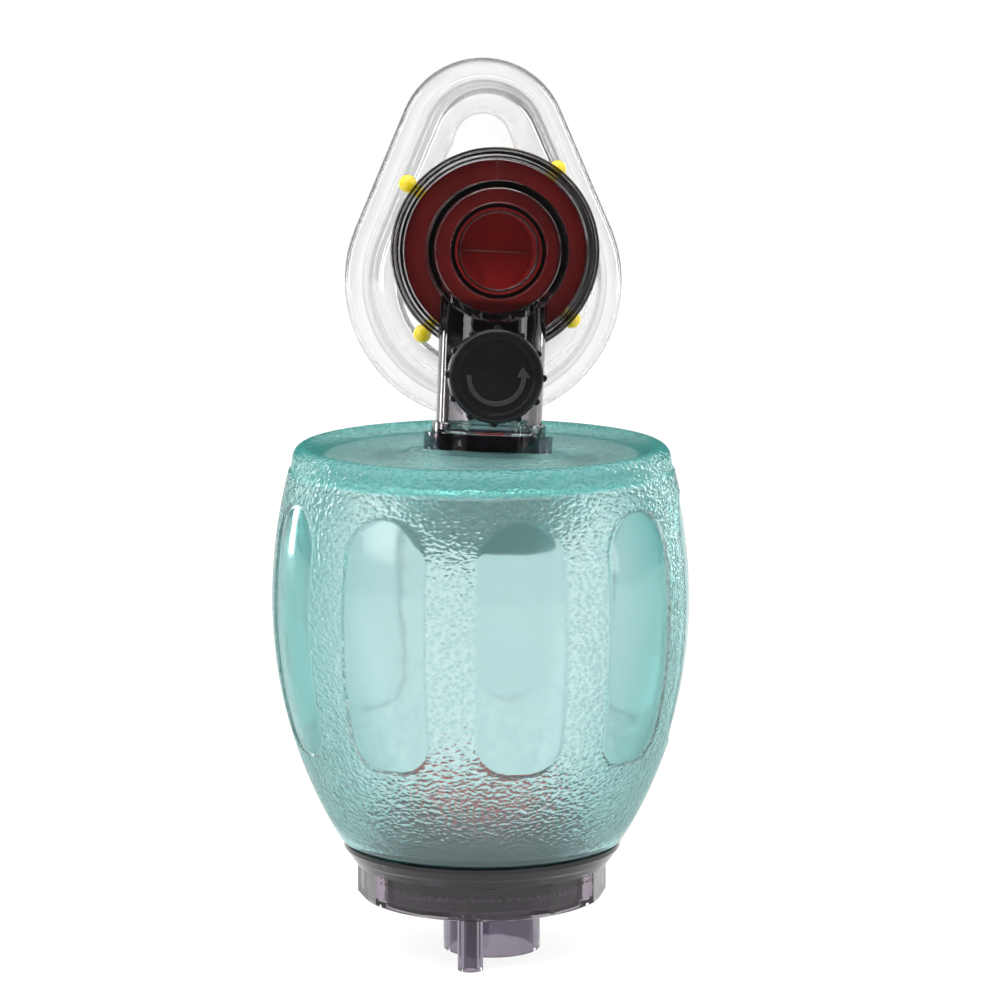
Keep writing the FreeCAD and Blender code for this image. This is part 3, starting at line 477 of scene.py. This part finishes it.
# the shoulder, the rim and the dished top
SHOULDER = (43.2 * MM, 109.9 * MM)
RIM_STEP = 0.35 * MM
CREST = (39.6 * MM, bag_high[2])
CREST_CURVE = 3.0 * MM
RIM_HEIGHT = CREST[1] - 2.6 * MM
DISH = (35.6 * MM, 113.2 * MM)
DISH_CURVE = 9.0 * MM
UNDERSIDE = (37.5 * MM, DISH[1] - BAG_WALL)
UNDERSIDE_CURVE = 4.6 * MM

# the neck that the patient valve stands in
NECK_TOP = NECK[2] - CLEARANCE
NECK_BOTTOM = NECK[2] - 20.9 * MM
NECK_DEPTH = 21.4 * MM
NECK_BORE = 13.45 * MM
NECK_MOUTH = 14.8 * MM
NECK_RADIUS = 15.8 * MM
NECK_END_CURVE = 1.25 * MM
NECK_BOWL = 22.5 * MM
BOWL_HEIGHT = NECK[2] - 9.0 * MM
BOWL_FLARE = 3.5 * MM
BOWL_CURVE = 16.0 * MM
FLARE_CURVE = 12.0 * MM
LIP_INSIDE = 15.2 * MM
LIP_RADIUS = 17.4 * MM
LIP_HEIGHT = 0.7 * MM
LEAN_FADE = 32.0 * MM

# rows of points along the section, from the mouth to the dish
MOUTH_ROWS = (5, 4, 3)
SIDE_ROWS = 120
RIM_ROWS = (5, 9)
DISH_ROWS = (7, 12)
SIDE_START = sum(MOUTH_ROWS)
SIDE_END = SIDE_START + SIDE_ROWS
GRAIN_END = SIDE_END + sum(RIM_ROWS) + sum(DISH_ROWS)
BAG_COLUMNS = 440

# windows: smooth panels between ribs of grained wall
SEAM_ANGLE = radians(-11.0)
WINDOW_PITCH = radians(38.3)
WINDOW_HALF = radians(12.4)
WINDOW_PAIRS = 4
WINDOW_BOTTOM = 48.7 * MM
WINDOW_TOP = 105.0 * MM
WINDOW_ARCH = 9.5 * MM
WINDOW_CORNER = 7.0 * MM
WINDOW_DEPTH = 0.45 * MM
WINDOW_EDGE = 0.9 * MM
ARCH_SOFTENING = 2.5
SEAM_WIDTH = 0.25 * MM
SEAM_HEIGHT = 0.12 * MM

# how strongly the material's grain, edge colour and rim colour show in places
GRAIN_START = (26.0 * MM, 33.0 * MM)
MIDDLE_GRAIN = 0.75
GRAINED_BELOW = (60.0 * MM, 46.0 * MM)
GRAINED_ABOVE = (94.0 * MM, 104.0 * MM)
DISH_EDGE_SHARE = 0.25
DISH_RIM_SHARE = 0.6
BOWL_RIM_SHARE = 0.9


def window_centres():
    """Angles of the windows from the front: pairs either side of the mould seam, and one opposite."""
    steps = np.arange(-WINDOW_PAIRS, WINDOW_PAIRS) + 0.5
    return np.append(SEAM_ANGLE + WINDOW_PITCH * steps, SEAM_ANGLE + pi)


def bag_outline():
    """The bag's section as a closed loop of (radius, height), from the mouth up the outside."""
    belly = (BELLY_RADIUS, BELLY_HEIGHT)
    side_low = arc(FOOT, belly, LOWER_CURVE, 1, SIDE_ROWS * 2)
    side_high = arc(belly, SHOULDER, UPPER_CURVE, 1, SIDE_ROWS)
    side = np.concatenate((side_low, side_high, [SHOULDER]))
    levels = spread(FOOT[1], SHOULDER[1], SIDE_ROWS, (WINDOW_BOTTOM, WINDOW_TOP), 5 * MM, 1.0)
    side = np.stack((np.interp(levels, side[:, 1], side[:, 0]), levels), axis=1)

    rim_foot = (SHOULDER[0] - RIM_STEP * 1.4, SHOULDER[1] + RIM_STEP * 1.2)
    rim_head = (SHOULDER[0] - RIM_STEP * 2.4, RIM_HEIGHT)
    lip_foot = (LIP_RADIUS + 1.6 * MM, DISH[1])
    lip_side = (LIP_RADIUS + 0.2 * MM, NECK[2] + LIP_HEIGHT * 0.6)
    lip_top = (LIP_RADIUS - 0.5 * MM, NECK[2] + LIP_HEIGHT)
    lip_inside = (LIP_INSIDE, NECK[2] + LIP_HEIGHT * 0.8)
    bowl = (NECK_BOWL, BOWL_HEIGHT)
    flare = (NECK_BOWL + BOWL_FLARE, UNDERSIDE[1])

    inner_shoulder = (SHOULDER[0] - BAG_WALL, SHOULDER[1])
    inner_belly = (BELLY_RADIUS - BAG_WALL, BELLY_HEIGHT)
    inner_foot = (FOOT[0] - BAG_WALL, FOOT[1] + BAG_WALL / 2)
    return np.concatenate((
        line((MOUTH_RADIUS, BAG_FOOT), (MOUTH_LEDGE, BAG_FOOT), MOUTH_ROWS[0]),
        line((MOUTH_LEDGE, BAG_FOOT), TUCK, MOUTH_ROWS[1]),
        line(TUCK, FOOT, MOUTH_ROWS[2]),
        side,
        line(rim_foot, rim_head, RIM_ROWS[0]),
        arc(rim_head, CREST, CREST_CURVE, 1, RIM_ROWS[1]),
        arc(CREST, DISH, DISH_CURVE, -1, DISH_ROWS[0]),
        line(DISH, lip_foot, DISH_ROWS[1]),
        line(lip_foot, lip_side, 4),
        line(lip_side, lip_top, 3),
        line(lip_top, lip_inside, 3),
        line(lip_inside, (NECK_MOUTH, NECK_TOP), 3),
        line((NECK_MOUTH, NECK_TOP), (NECK_BORE, NECK_TOP), 3),
        line((NECK_BORE, NECK_TOP), (NECK_BORE, NECK_BOTTOM), 12),
        arc((NECK_BORE, NECK_BOTTOM), (NECK_RADIUS, NECK_BOTTOM), NECK_END_CURVE, 1, 8),
        arc((NECK_RADIUS, NECK_BOTTOM), bowl, BOWL_CURVE, 1, 12),
        arc(bowl, flare, FLARE_CURVE, -1, 8),
        line(flare, UNDERSIDE, 8),
        arc(UNDERSIDE, inner_shoulder, UNDERSIDE_CURVE, -1, 8),
        arc(inner_shoulder, inner_belly, UPPER_CURVE - BAG_WALL, -1, 14),
        arc(inner_belly, inner_foot, LOWER_CURVE - BAG_WALL, -1, 22),
        line(inner_foot, (INNER_LEDGE, MOUTH_FLOOR), 4),
        line((INNER_LEDGE, MOUTH_FLOOR), (MOUTH_RADIUS, MOUTH_FLOOR), 4),
        line((MOUTH_RADIUS, MOUTH_FLOOR), (MOUTH_RADIUS, BAG_FOOT), 3),
    ))


def window_share(angle, height):
    """1 inside a window, 0 on the ribs, for angles and heights on the outside."""
    across = np.full(np.broadcast(angle, height).shape, 1.0)
    for centre in window_centres():
        off = np.abs((angle - centre + pi) % (2 * pi) - pi) * BELLY_RADIUS
        across = np.minimum(across, off)
    half = WINDOW_HALF * BELLY_RADIUS
    above = np.clip((height - (WINDOW_TOP - WINDOW_ARCH)) / WINDOW_ARCH, 0, None)
    below = np.clip((WINDOW_BOTTOM + WINDOW_CORNER - height) / WINDOW_CORNER, 0, None)
    arch = half * (1 - np.sqrt(np.clip(1 - above ** 2, 0, 1)))
    corner = WINDOW_CORNER * (1 - np.sqrt(np.clip(1 - below ** 2, 0, 1)))
    inside = half - arch - corner - across
    outside_ends = np.maximum(above, below) > 1
    softness = WINDOW_EDGE * (1 + ARCH_SOFTENING * np.clip(above, 0, 1))
    return np.where(outside_ends, 0, smoothstep(-softness / 2, softness / 2, inside))


def lean_neck(points):
    """Tilt the neck with the patient valve; the tilt fades out across the dish."""
    offset = points - (AXIS[0], AXIS[1], NECK[2])
    share = 1 - smoothstep(LIP_RADIUS + 2 * MM, LEAN_FADE, np.hypot(offset[..., 0], offset[..., 1]))
    share = np.where(offset[..., 2] < -NECK_DEPTH - 2 * MM, 0, share)
    leaned = NECK + offset[..., :1] * SIDE + offset[..., 1:2] * BACK + offset[..., 2:] * UP
    return points + (leaned - points) * share[..., None]


def bag_finish(section):
    """How strongly the grain, the edge colour and the rim colour show on each row of the section."""
    radius, height = section.T
    below_neck = NECK[2] - height
    grained = np.zeros(len(section))
    grained[SIDE_START:GRAIN_END] = 1
    ends = smoothstep(*GRAINED_BELOW, height) + smoothstep(*GRAINED_ABOVE, height)
    grain = smoothstep(*GRAIN_START, height) * grained
    grain *= np.clip(MIDDLE_GRAIN + (1 - MIDDLE_GRAIN) * ends, 0, 1)

    on_dish = (height > UNDERSIDE[1] - RIM_STEP) & (radius < DISH[0] - RIM_STEP)
    edge = np.where(on_dish, DISH_EDGE_SHARE, 1.0)

    rim = smoothstep(SHOULDER[1] - 0.5 * MM, SHOULDER[1] + RIM_STEP, height) * grained
    rim *= DISH_RIM_SHARE + (1 - DISH_RIM_SHARE) * smoothstep(DISH[0], CREST[0], radius)
    in_bowl = (radius < NECK_BOWL + 4 * MM) & (below_neck > MM) & (below_neck < NECK_DEPTH + 3 * MM)
    return grain, edge, np.where(in_bowl, BOWL_RIM_SHARE, rim)


def make_bag():
    section = bag_outline()
    edges = [centre + sign * WINDOW_HALF for centre in window_centres() for sign in (-1, 1)]
    places = [(edge - SEAM_ANGLE) % (2 * pi) for edge in edges] + [0, pi, 2 * pi]
    angles = SEAM_ANGLE + spread(0, 2 * pi, BAG_COLUMNS + 1, places, radians(1.6), 1.6)[:-1]
    radius = section[:, :1]
    height = section[:, 1:]
    outside = np.zeros((len(section), 1), dtype=bool)
    outside[SIDE_START:SIDE_END] = True
    share = window_share(angles[None, :], height) * outside
    from_seam = np.abs((angles - SEAM_ANGLE + pi / 2) % pi - pi / 2)[None, :]
    seam = np.exp(-(from_seam * BELLY_RADIUS / SEAM_WIDTH) ** 2) * outside * (1 - share)
    reach = radius - share * WINDOW_DEPTH + seam * SEAM_HEIGHT
    points = np.stack((AXIS[0] + reach * np.sin(angles), -reach * np.cos(angles), height + 0 * reach),
                      axis=-1)
    points = lean_neck(points)
    piece = new_piece("bag_body", points, ring_faces(*points.shape[:2]), None)
    grain, edge, rim = bag_finish(section)
    keep_number(piece, "grain", grain[:, None] * (1 - share))
    keep_number(piece, "edge", edge[:, None] + 0 * share)
    keep_number(piece, "rim", rim[:, None] + 0 * share)
    keep_place(piece, "rest", points)
    piece.data.materials.append(bag_vinyl())
    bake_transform(piece)
    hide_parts("bag")


# ---------------------------------------------------------------- the face mask

# its pear outline: two arcs joined by straight sides
CHIN_RADIUS = 32.8 * MM
CHIN_CENTRE = -6.9 * MM
NOSE_RADIUS = 20.0 * MM
NOSE_CENTRE = 25.8 * MM
SIDE_TILT = radians(23.0)
NOSE_COLUMNS = 56
SIDE_COLUMNS = 26
CHIN_COLUMNS = 92

# its socket and its dome, by their distance behind the valve's centre
SOCKET_RADIUS = 13.3 * MM
SOCKET_BORE = 11.15 * MM
SOCKET_FRONT = 18.0 * MM
THROAT_RADIUS = 14.4 * MM
DOME_FRONT = 29.5 * MM
DOME_MIDDLE = 39.0 * MM
DOME_BACK = 50.1 * MM
DOME_WALL = 1.3 * MM
DOME_BULGE = 0.6 * MM
SHOULDER_DROP = 2.2 * MM
MIDDLE_INSET = 8.6 * MM
BACK_INSET = 5.2 * MM
DOME_RIM = ((4.9, -0.15), (4.3, -0.1), (4.1, 0.2), (4.3, 0.5))
SOCKET_LEVELS = (20, 23, 26, 28, 29)
BORE_LEVELS = (31.2, 28, 24, 20, 18.4)
SOCKET_CHAMFER = 0.4 * MM
DOME_ROWS = 16

# its cushion, with the weld that runs round its outside
CUSHION_RADIUS = 6.6 * MM
CUSHION_WALL = 0.8 * MM
CUSHION_LEVEL = 56.8 * MM
CUSHION_ROWS = 72
CUSHION_INNER_ROWS = 48
WELD_ANGLE = radians(205)
WELD_WIDTH = radians(4)
WELD_HEIGHT = 0.35 * MM


def mask_outline(inset):
    """The pear outline drawn in by inset, and its outward normals, as (side, up) rows."""
    nose = NOSE_RADIUS - inset
    chin = CHIN_RADIUS - inset
    nose_angles = np.linspace(SIDE_TILT, pi - SIDE_TILT, NOSE_COLUMNS, endpoint=False)
    chin_angles = np.linspace(pi - SIDE_TILT, 2 * pi + SIDE_TILT, CHIN_COLUMNS, endpoint=False)
    round_nose = np.stack((np.cos(nose_angles), np.sin(nose_angles)), axis=1)
    round_chin = np.stack((np.cos(chin_angles), np.sin(chin_angles)), axis=1)
    left = np.array((-cos(SIDE_TILT), sin(SIDE_TILT)))
    right = np.array((cos(SIDE_TILT), sin(SIDE_TILT)))
    places = (round_nose * nose + (0, NOSE_CENTRE),
              line(left * nose + (0, NOSE_CENTRE), left * chin + (0, CHIN_CENTRE), SIDE_COLUMNS),
              round_chin * chin + (0, CHIN_CENTRE),
              line(right * chin + (0, CHIN_CENTRE), right * nose + (0, NOSE_CENTRE), SIDE_COLUMNS))
    directions = (round_nose, np.tile(left, (SIDE_COLUMNS, 1)),
                  round_chin, np.tile(right, (SIDE_COLUMNS, 1)))
    return np.concatenate(places), np.concatenate(directions)


def at_valve(flat, level):
    """Points of the row frame, from (side, up) and the distance behind the valve's centre."""
    level = np.broadcast_to(level, flat.shape[:-1])[..., None]
    return VALVE + flat[..., :1] * MASK_SIDE + flat[..., 1:] * MASK_UP + level * BACK


def dome_rows(wall):
    """Rows of the dome's skin from the throat to its back edge, drawn in by the wall."""
    back_edge, _ = mask_outline(BACK_INSET + wall)
    shoulder, _ = mask_outline(MIDDLE_INSET + wall)
    throat = back_edge / np.hypot(*back_edge.T)[:, None] * (THROAT_RADIUS - wall)
    front_depth = DOME_MIDDLE - DOME_FRONT - SHOULDER_DROP
    start = DOME_MIDDLE + wall - SHOULDER_DROP
    rows = []
    for share in np.linspace(0, 1, DOME_ROWS):
        flat = throat + (shoulder - throat) * share
        rows.append(at_valve(flat, DOME_FRONT + wall + front_depth * share ** 1.5))
    for share in np.linspace(0, 1, DOME_ROWS)[1:]:
        flat = shoulder + (back_edge - shoulder) * (share ** 0.7)
        rows.append(at_valve(flat, start + (DOME_BACK - start) * share - sin(pi * share) * DOME_BULGE))
    return rows


def make_mask_shell():
    """A socket that widens into a dome; the dome's back edge is let into the cushion."""
    edge, _ = mask_outline(BACK_INSET)
    polar = edge / np.hypot(*edge.T)[:, None]

    def hoop(radius, level):
        return at_valve(polar * radius, level)

    rows = [hoop(SOCKET_RADIUS - SOCKET_CHAMFER, SOCKET_FRONT),
            hoop(SOCKET_RADIUS, SOCKET_FRONT + SOCKET_CHAMFER)]
    rows += [hoop(SOCKET_RADIUS, level * MM) for level in SOCKET_LEVELS]
    rows += dome_rows(0.0)
    rows += [at_valve(mask_outline(inset * MM)[0], DOME_BACK + level * MM) for inset, level in DOME_RIM]
    rows += dome_rows(DOME_WALL)[::-1]
    rows += [hoop(SOCKET_BORE, level * MM) for level in BORE_LEVELS]
    rows.append(hoop(SOCKET_BORE + SOCKET_CHAMFER, SOCKET_FRONT))
    points = np.array(rows)
    piece = new_piece("mask_shell", points, ring_faces(*points.shape[:2])[:, ::-1], "mask")
    piece.data.materials.append(mask_vinyl("mask_shell_clear", (0.97, 0.97, 0.97, 1),
                                           (0.74, 0.74, 0.75, 1), 0.05))
    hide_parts("mask_dome")


def cushion_rows(drawn_in, count):
    """Loops round the inflated cushion; drawn_in is how far inside its outer skin they lie."""
    centre, outward = mask_outline(CUSHION_RADIUS)
    rows = []
    for angle in np.linspace(0, 2 * pi, count, endpoint=False):
        radius = CUSHION_RADIUS - drawn_in
        if not drawn_in:
            radius += np.exp(-((angle - WELD_ANGLE) / WELD_WIDTH) ** 2) * WELD_HEIGHT
        rows.append(at_valve(centre + outward * radius * cos(angle), CUSHION_LEVEL + radius * sin(angle)))
    return np.array(rows)


def make_mask_cushion():
    outer = cushion_rows(0.0, CUSHION_ROWS)
    inner = cushion_rows(CUSHION_WALL, CUSHION_INNER_ROWS)
    faces = np.concatenate((ring_faces(*outer.shape[:2])[:, ::-1],
                            ring_faces(*inner.shape[:2], first=outer.shape[0] * outer.shape[1])))
    points = np.concatenate((outer.reshape(-1, 3), inner.reshape(-1, 3)))
    piece = new_piece("mask_pad", points, faces, "mask")
    piece.data.materials.append(mask_vinyl("mask_vinyl_clear", (0.97, 0.97, 0.97, 1),
                                           (0.76, 0.76, 0.77, 1), 0.16))
    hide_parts("mask_cushion")


# ---------------------------------------------------------------- the lip valve

LIP_DISC_RADIUS = 20.4 * MM
LIP_DISC_FRONT = 2.6 * MM
LIP_DISC = 1.0 * MM
BILL_RADIUS = 9.3 * MM
BILL_WALL = 0.9 * MM
BILL_TIP = 12.2 * MM
BILL_MOUTH = 7.7 * MM
SLIT_HALF = 0.01 * MM
LIP_COLUMNS = 96


def make_lip_valve():
    """A floating disc whose duckbill narrows to two closed lips behind it."""
    angles = np.linspace(0, 2 * pi, LIP_COLUMNS, endpoint=False)

    def hoop(across, up, level):
        loop = np.stack((across * np.cos(angles), up * np.sin(angles)), axis=1)
        return VALVE + loop[:, :1] * SIDE + loop[:, 1:] * UP + level * BACK

    def bill(wall, steps):
        """Hoops of the bill from the disc to its tip, inside or outside its wall."""
        base = BILL_RADIUS - wall
        tip = BILL_TIP - wall
        thickness = SLIT_HALF if wall else BILL_WALL
        for share in np.linspace(0, 1, steps):
            closing = share ** 1.3
            yield hoop(base + (BILL_MOUTH + BILL_WALL - wall - base) * closing,
                       base * (1 - closing) + thickness * closing,
                       LIP_DISC_FRONT + LIP_DISC + (tip - LIP_DISC_FRONT - LIP_DISC) * share)

    disc_back = LIP_DISC_FRONT + LIP_DISC
    edge = LIP_DISC / 4
    rows = list(bill(BILL_WALL, 20))[::-1]
    rows.append(hoop(BILL_RADIUS - BILL_WALL, BILL_RADIUS - BILL_WALL, LIP_DISC_FRONT + edge))
    for radius in (BILL_RADIUS - BILL_WALL + edge, 12 * MM, 16 * MM, LIP_DISC_RADIUS - edge):
        rows.append(hoop(radius, radius, LIP_DISC_FRONT))
    for level in (LIP_DISC_FRONT + edge, disc_back - edge):
        rows.append(hoop(LIP_DISC_RADIUS, LIP_DISC_RADIUS, level))
    for radius in (LIP_DISC_RADIUS - edge, 16 * MM, 12 * MM, BILL_RADIUS + edge):
        rows.append(hoop(radius, radius, disc_back))
    rows += list(bill(0.0, 20))
    rows.append(hoop(BILL_MOUTH, SLIT_HALF, BILL_TIP))
    points = np.array(rows)
    piece = new_piece("lip_valve_silicone", points, ring_faces(*points.shape[:2])[:, ::-1], "lip_valve")
    piece.data.materials.append(silicone("lip_silicone_satin", *DISC_REDS, 0.42))
    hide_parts("lip_valve")


# ---------------------------------------------------------------- the pop-off spring

# its ends are distances forward of the valve tube's axis
SPRING_FOOT = 15.45 * MM
SPRING_HEAD = 21.55 * MM
SPRING_RADIUS = 3.3 * MM
SPRING_WIRE = 0.25 * MM
SPRING_TURNS = 4.5
STEPS_PER_TURN = 40
WIRE_COLUMNS = 12


def make_popoff_spring():
    """A helix of wire; on the real valve it is squeezed when the poppet lifts."""
    steps = int(STEPS_PER_TURN * SPRING_TURNS)
    turns = np.linspace(0, 2 * pi * SPRING_TURNS, steps + 1)[:, None]
    outward = SIDE * np.cos(turns) + UP * np.sin(turns)
    rise = (SPRING_HEAD - SPRING_FOOT) * turns / turns[-1]
    centres = POPOFF + outward * SPRING_RADIUS - BACK * (SPRING_FOOT + rise)
    around = np.linspace(0, 2 * pi, WIRE_COLUMNS, endpoint=False)[None, :, None]
    circle = outward[:, None, :] * np.cos(around) - BACK * np.sin(around)
    points = centres[:, None, :] + circle * SPRING_WIRE
    ends = np.arange(WIRE_COLUMNS)
    faces = ring_faces(steps + 1, WIRE_COLUMNS)[:-WIRE_COLUMNS, ::-1].tolist()
    faces += [ends.tolist(), (ends[::-1] + steps * WIRE_COLUMNS).tolist()]
    piece = new_piece("popoff_wire", points, faces, None)
    piece.data.materials.append(spring_steel())
    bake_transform(piece)
    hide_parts("popoff_spring")


# ---------------------------------------------------------------- finishes of the CAD nodes

def dress_nodes():
    """Give each CAD node the material of its slot; the nut is clearer than the other dark pieces."""
    finishes = {
        "light_smoke": clear_plastic("light_smoke_polished", (0.31, 0.27, 0.34, 1),
                                     (0.08, 0.065, 0.095, 1), 0.06),
        "dark_smoke": clear_plastic("dark_smoke_polished", (0.16, 0.13, 0.16, 1),
                                    (0.03, 0.024, 0.032, 1), 0.08),
        "clear_smoke": valve_plastic(),
        "clear_silicone": clear_plastic("clear_silicone_milky", (0.80, 0.83, 0.85, 1),
                                        (0.6, 0.62, 0.64, 1), 0.25, transmission=0.7),
        "red_silicone": silicone("red_silicone_satin", *FLAP_REDS_PAINTED_BRIGHTER, 0.42),
        "white_plastic": moulded_plastic("white_plastic_satin", (0.82, 0.82, 0.80, 1), 0.35, 0.01 * MM),
        "black_plastic": knob_plastic(),
        "yellow_plastic": moulded_plastic("yellow_plastic_gloss", (0.80, 0.62, 0.01, 1), 0.22,
                                          0.01 * MM, 0.4),
    }
    nut_finish = clear_plastic("nut_smoke_polished", (0.37, 0.31, 0.37, 1), (0.04, 0.03, 0.045, 1), 0.06)
    for row in frame["record"]["subparts"]:
        node = nodes[row["node"]]
        finish = nut_finish if row["node"] == "intake_nut" else finishes.get(row["material_slot"])
        if finish:
            for holder in node.material_slots:
                holder.material = finish


# ---------------------------------------------------------------- stage

# the photo's viewpoint, measured from the bag's axis
CAMERA_TURN = radians(2.8)
CAMERA_PITCH = radians(9.14)
CAMERA_DISTANCE = 0.9426
CAMERA_HEIGHT = 0.2543
CAMERA_SIDE = 0.0042
LENS = 153.2
FLOOR_SIZE = 3.0

# brightness of the mirrored surroundings, and the height of the ray where it starts and ends to rise
MIRRORED_SIDES = 0.08
MIRRORED_TOP = 0.80
MIRRORED_LOW = 0.25
MIRRORED_HIGH = 0.90

# each lamp's name, place and size in metres, and power in watts; all face the middle of the object
LAMPS = (
    ("left_softbox", (-0.9, -0.5, 0.6), (0.4, 0.9), 5.0),
    ("right_softbox", (0.95, -0.35, 0.5), (0.3, 0.9), 3.5),
    ("left_rim_strip", (-0.75, 0.75, 0.35), (0.12, 0.9), 4.0),
    ("right_rim_strip", (0.75, 0.75, 0.35), (0.12, 0.9), 4.0),
    ("top_softbox", (0.0, 0.1, 1.2), (0.9, 0.6), 5.0),
    ("front_strip", (-0.15, -0.60, 0.85), (0.7, 0.10), 2.5),
)
LAMP_TARGET = Vector((0, 0, 0.1))
LIGHT_BOUNCES = 24


def make_camera():
    data = bpy.data.cameras.new("camera")
    data.lens = LENS
    data.sensor_width = 36.0
    camera = bpy.data.objects.new("camera", data)
    bpy.context.scene.collection.objects.link(camera)
    ahead = Vector((sin(CAMERA_TURN), cos(CAMERA_TURN), 0))
    right = Vector((cos(CAMERA_TURN), -sin(CAMERA_TURN), 0))
    offset = right * CAMERA_SIDE - ahead * CAMERA_DISTANCE
    camera.location = offset + Vector((AXIS[0], AXIS[1], CAMERA_HEIGHT))
    camera.rotation_euler = (pi / 2 - CAMERA_PITCH, 0, -CAMERA_TURN)
    bpy.context.scene.camera = camera


def make_floor():
    half = FLOOR_SIZE / 2
    points = np.array([(-half, -half, 0), (half, -half, 0), (half, half, 0), (-half, half, 0)])
    floor = new_piece("floor", points, np.array([(0, 1, 2, 3)]), None)
    material, tree = new_material("pale_floor")
    finish_material(tree, {"Base Color": (0.22, 0.22, 0.22, 1), "Roughness": 0.9, "Specular IOR Level": 0.1,
                           "Emission Color": (1, 1, 1, 1), "Emission Strength": 0.84})
    floor.data.materials.append(material)


def make_lamp(name, place, size, power):
    data = bpy.data.lights.new(name, "AREA")
    data.shape = "RECTANGLE"
    data.size, data.size_y = size
    data.energy = power
    lamp = bpy.data.objects.new(name, data)
    bpy.context.scene.collection.objects.link(lamp)
    lamp.location = place
    lamp.rotation_euler = (Vector(place) - LAMP_TARGET).to_track_quat("Z", "Y").to_euler()


def make_world():
    """White to look at and to look through; where it is mirrored, dark at the sides and pale above."""
    world = bpy.data.worlds.new("studio")
    bpy.context.scene.world = world
    world.use_nodes = True
    tree = world.node_tree
    tree.nodes.clear()
    path = add(tree, "LightPath")
    seen = calculate(tree, "LESS_THAN", path.outputs["Glossy Depth"], 0.5)
    ray = add(tree, "SeparateXYZ", {"Vector": add(tree, "TexCoord").outputs["Generated"]})
    mirrored = remap(tree, ray.outputs["Z"], MIRRORED_SIDES, MIRRORED_TOP, MIRRORED_LOW, MIRRORED_HIGH)
    strength = calculate(tree, "MAXIMUM", seen, mirrored)
    background = add(tree, "Background", {"Color": (1, 1, 1, 1), "Strength": strength})
    add(tree, "OutputWorld", {"Surface": background.outputs[0]})


def make_stage():
    make_camera()
    make_floor()
    make_world()
    for lamp in LAMPS:
        make_lamp(*lamp)
    scene = bpy.context.scene
    scene.view_settings.view_transform = "Standard"
    scene.cycles.max_bounces = LIGHT_BOUNCES
    scene.cycles.transmission_bounces = LIGHT_BOUNCES


make_stage()
dress_nodes()
make_bag()
make_mask_shell()
make_mask_cushion()
make_lip_valve()
make_popoff_spring()
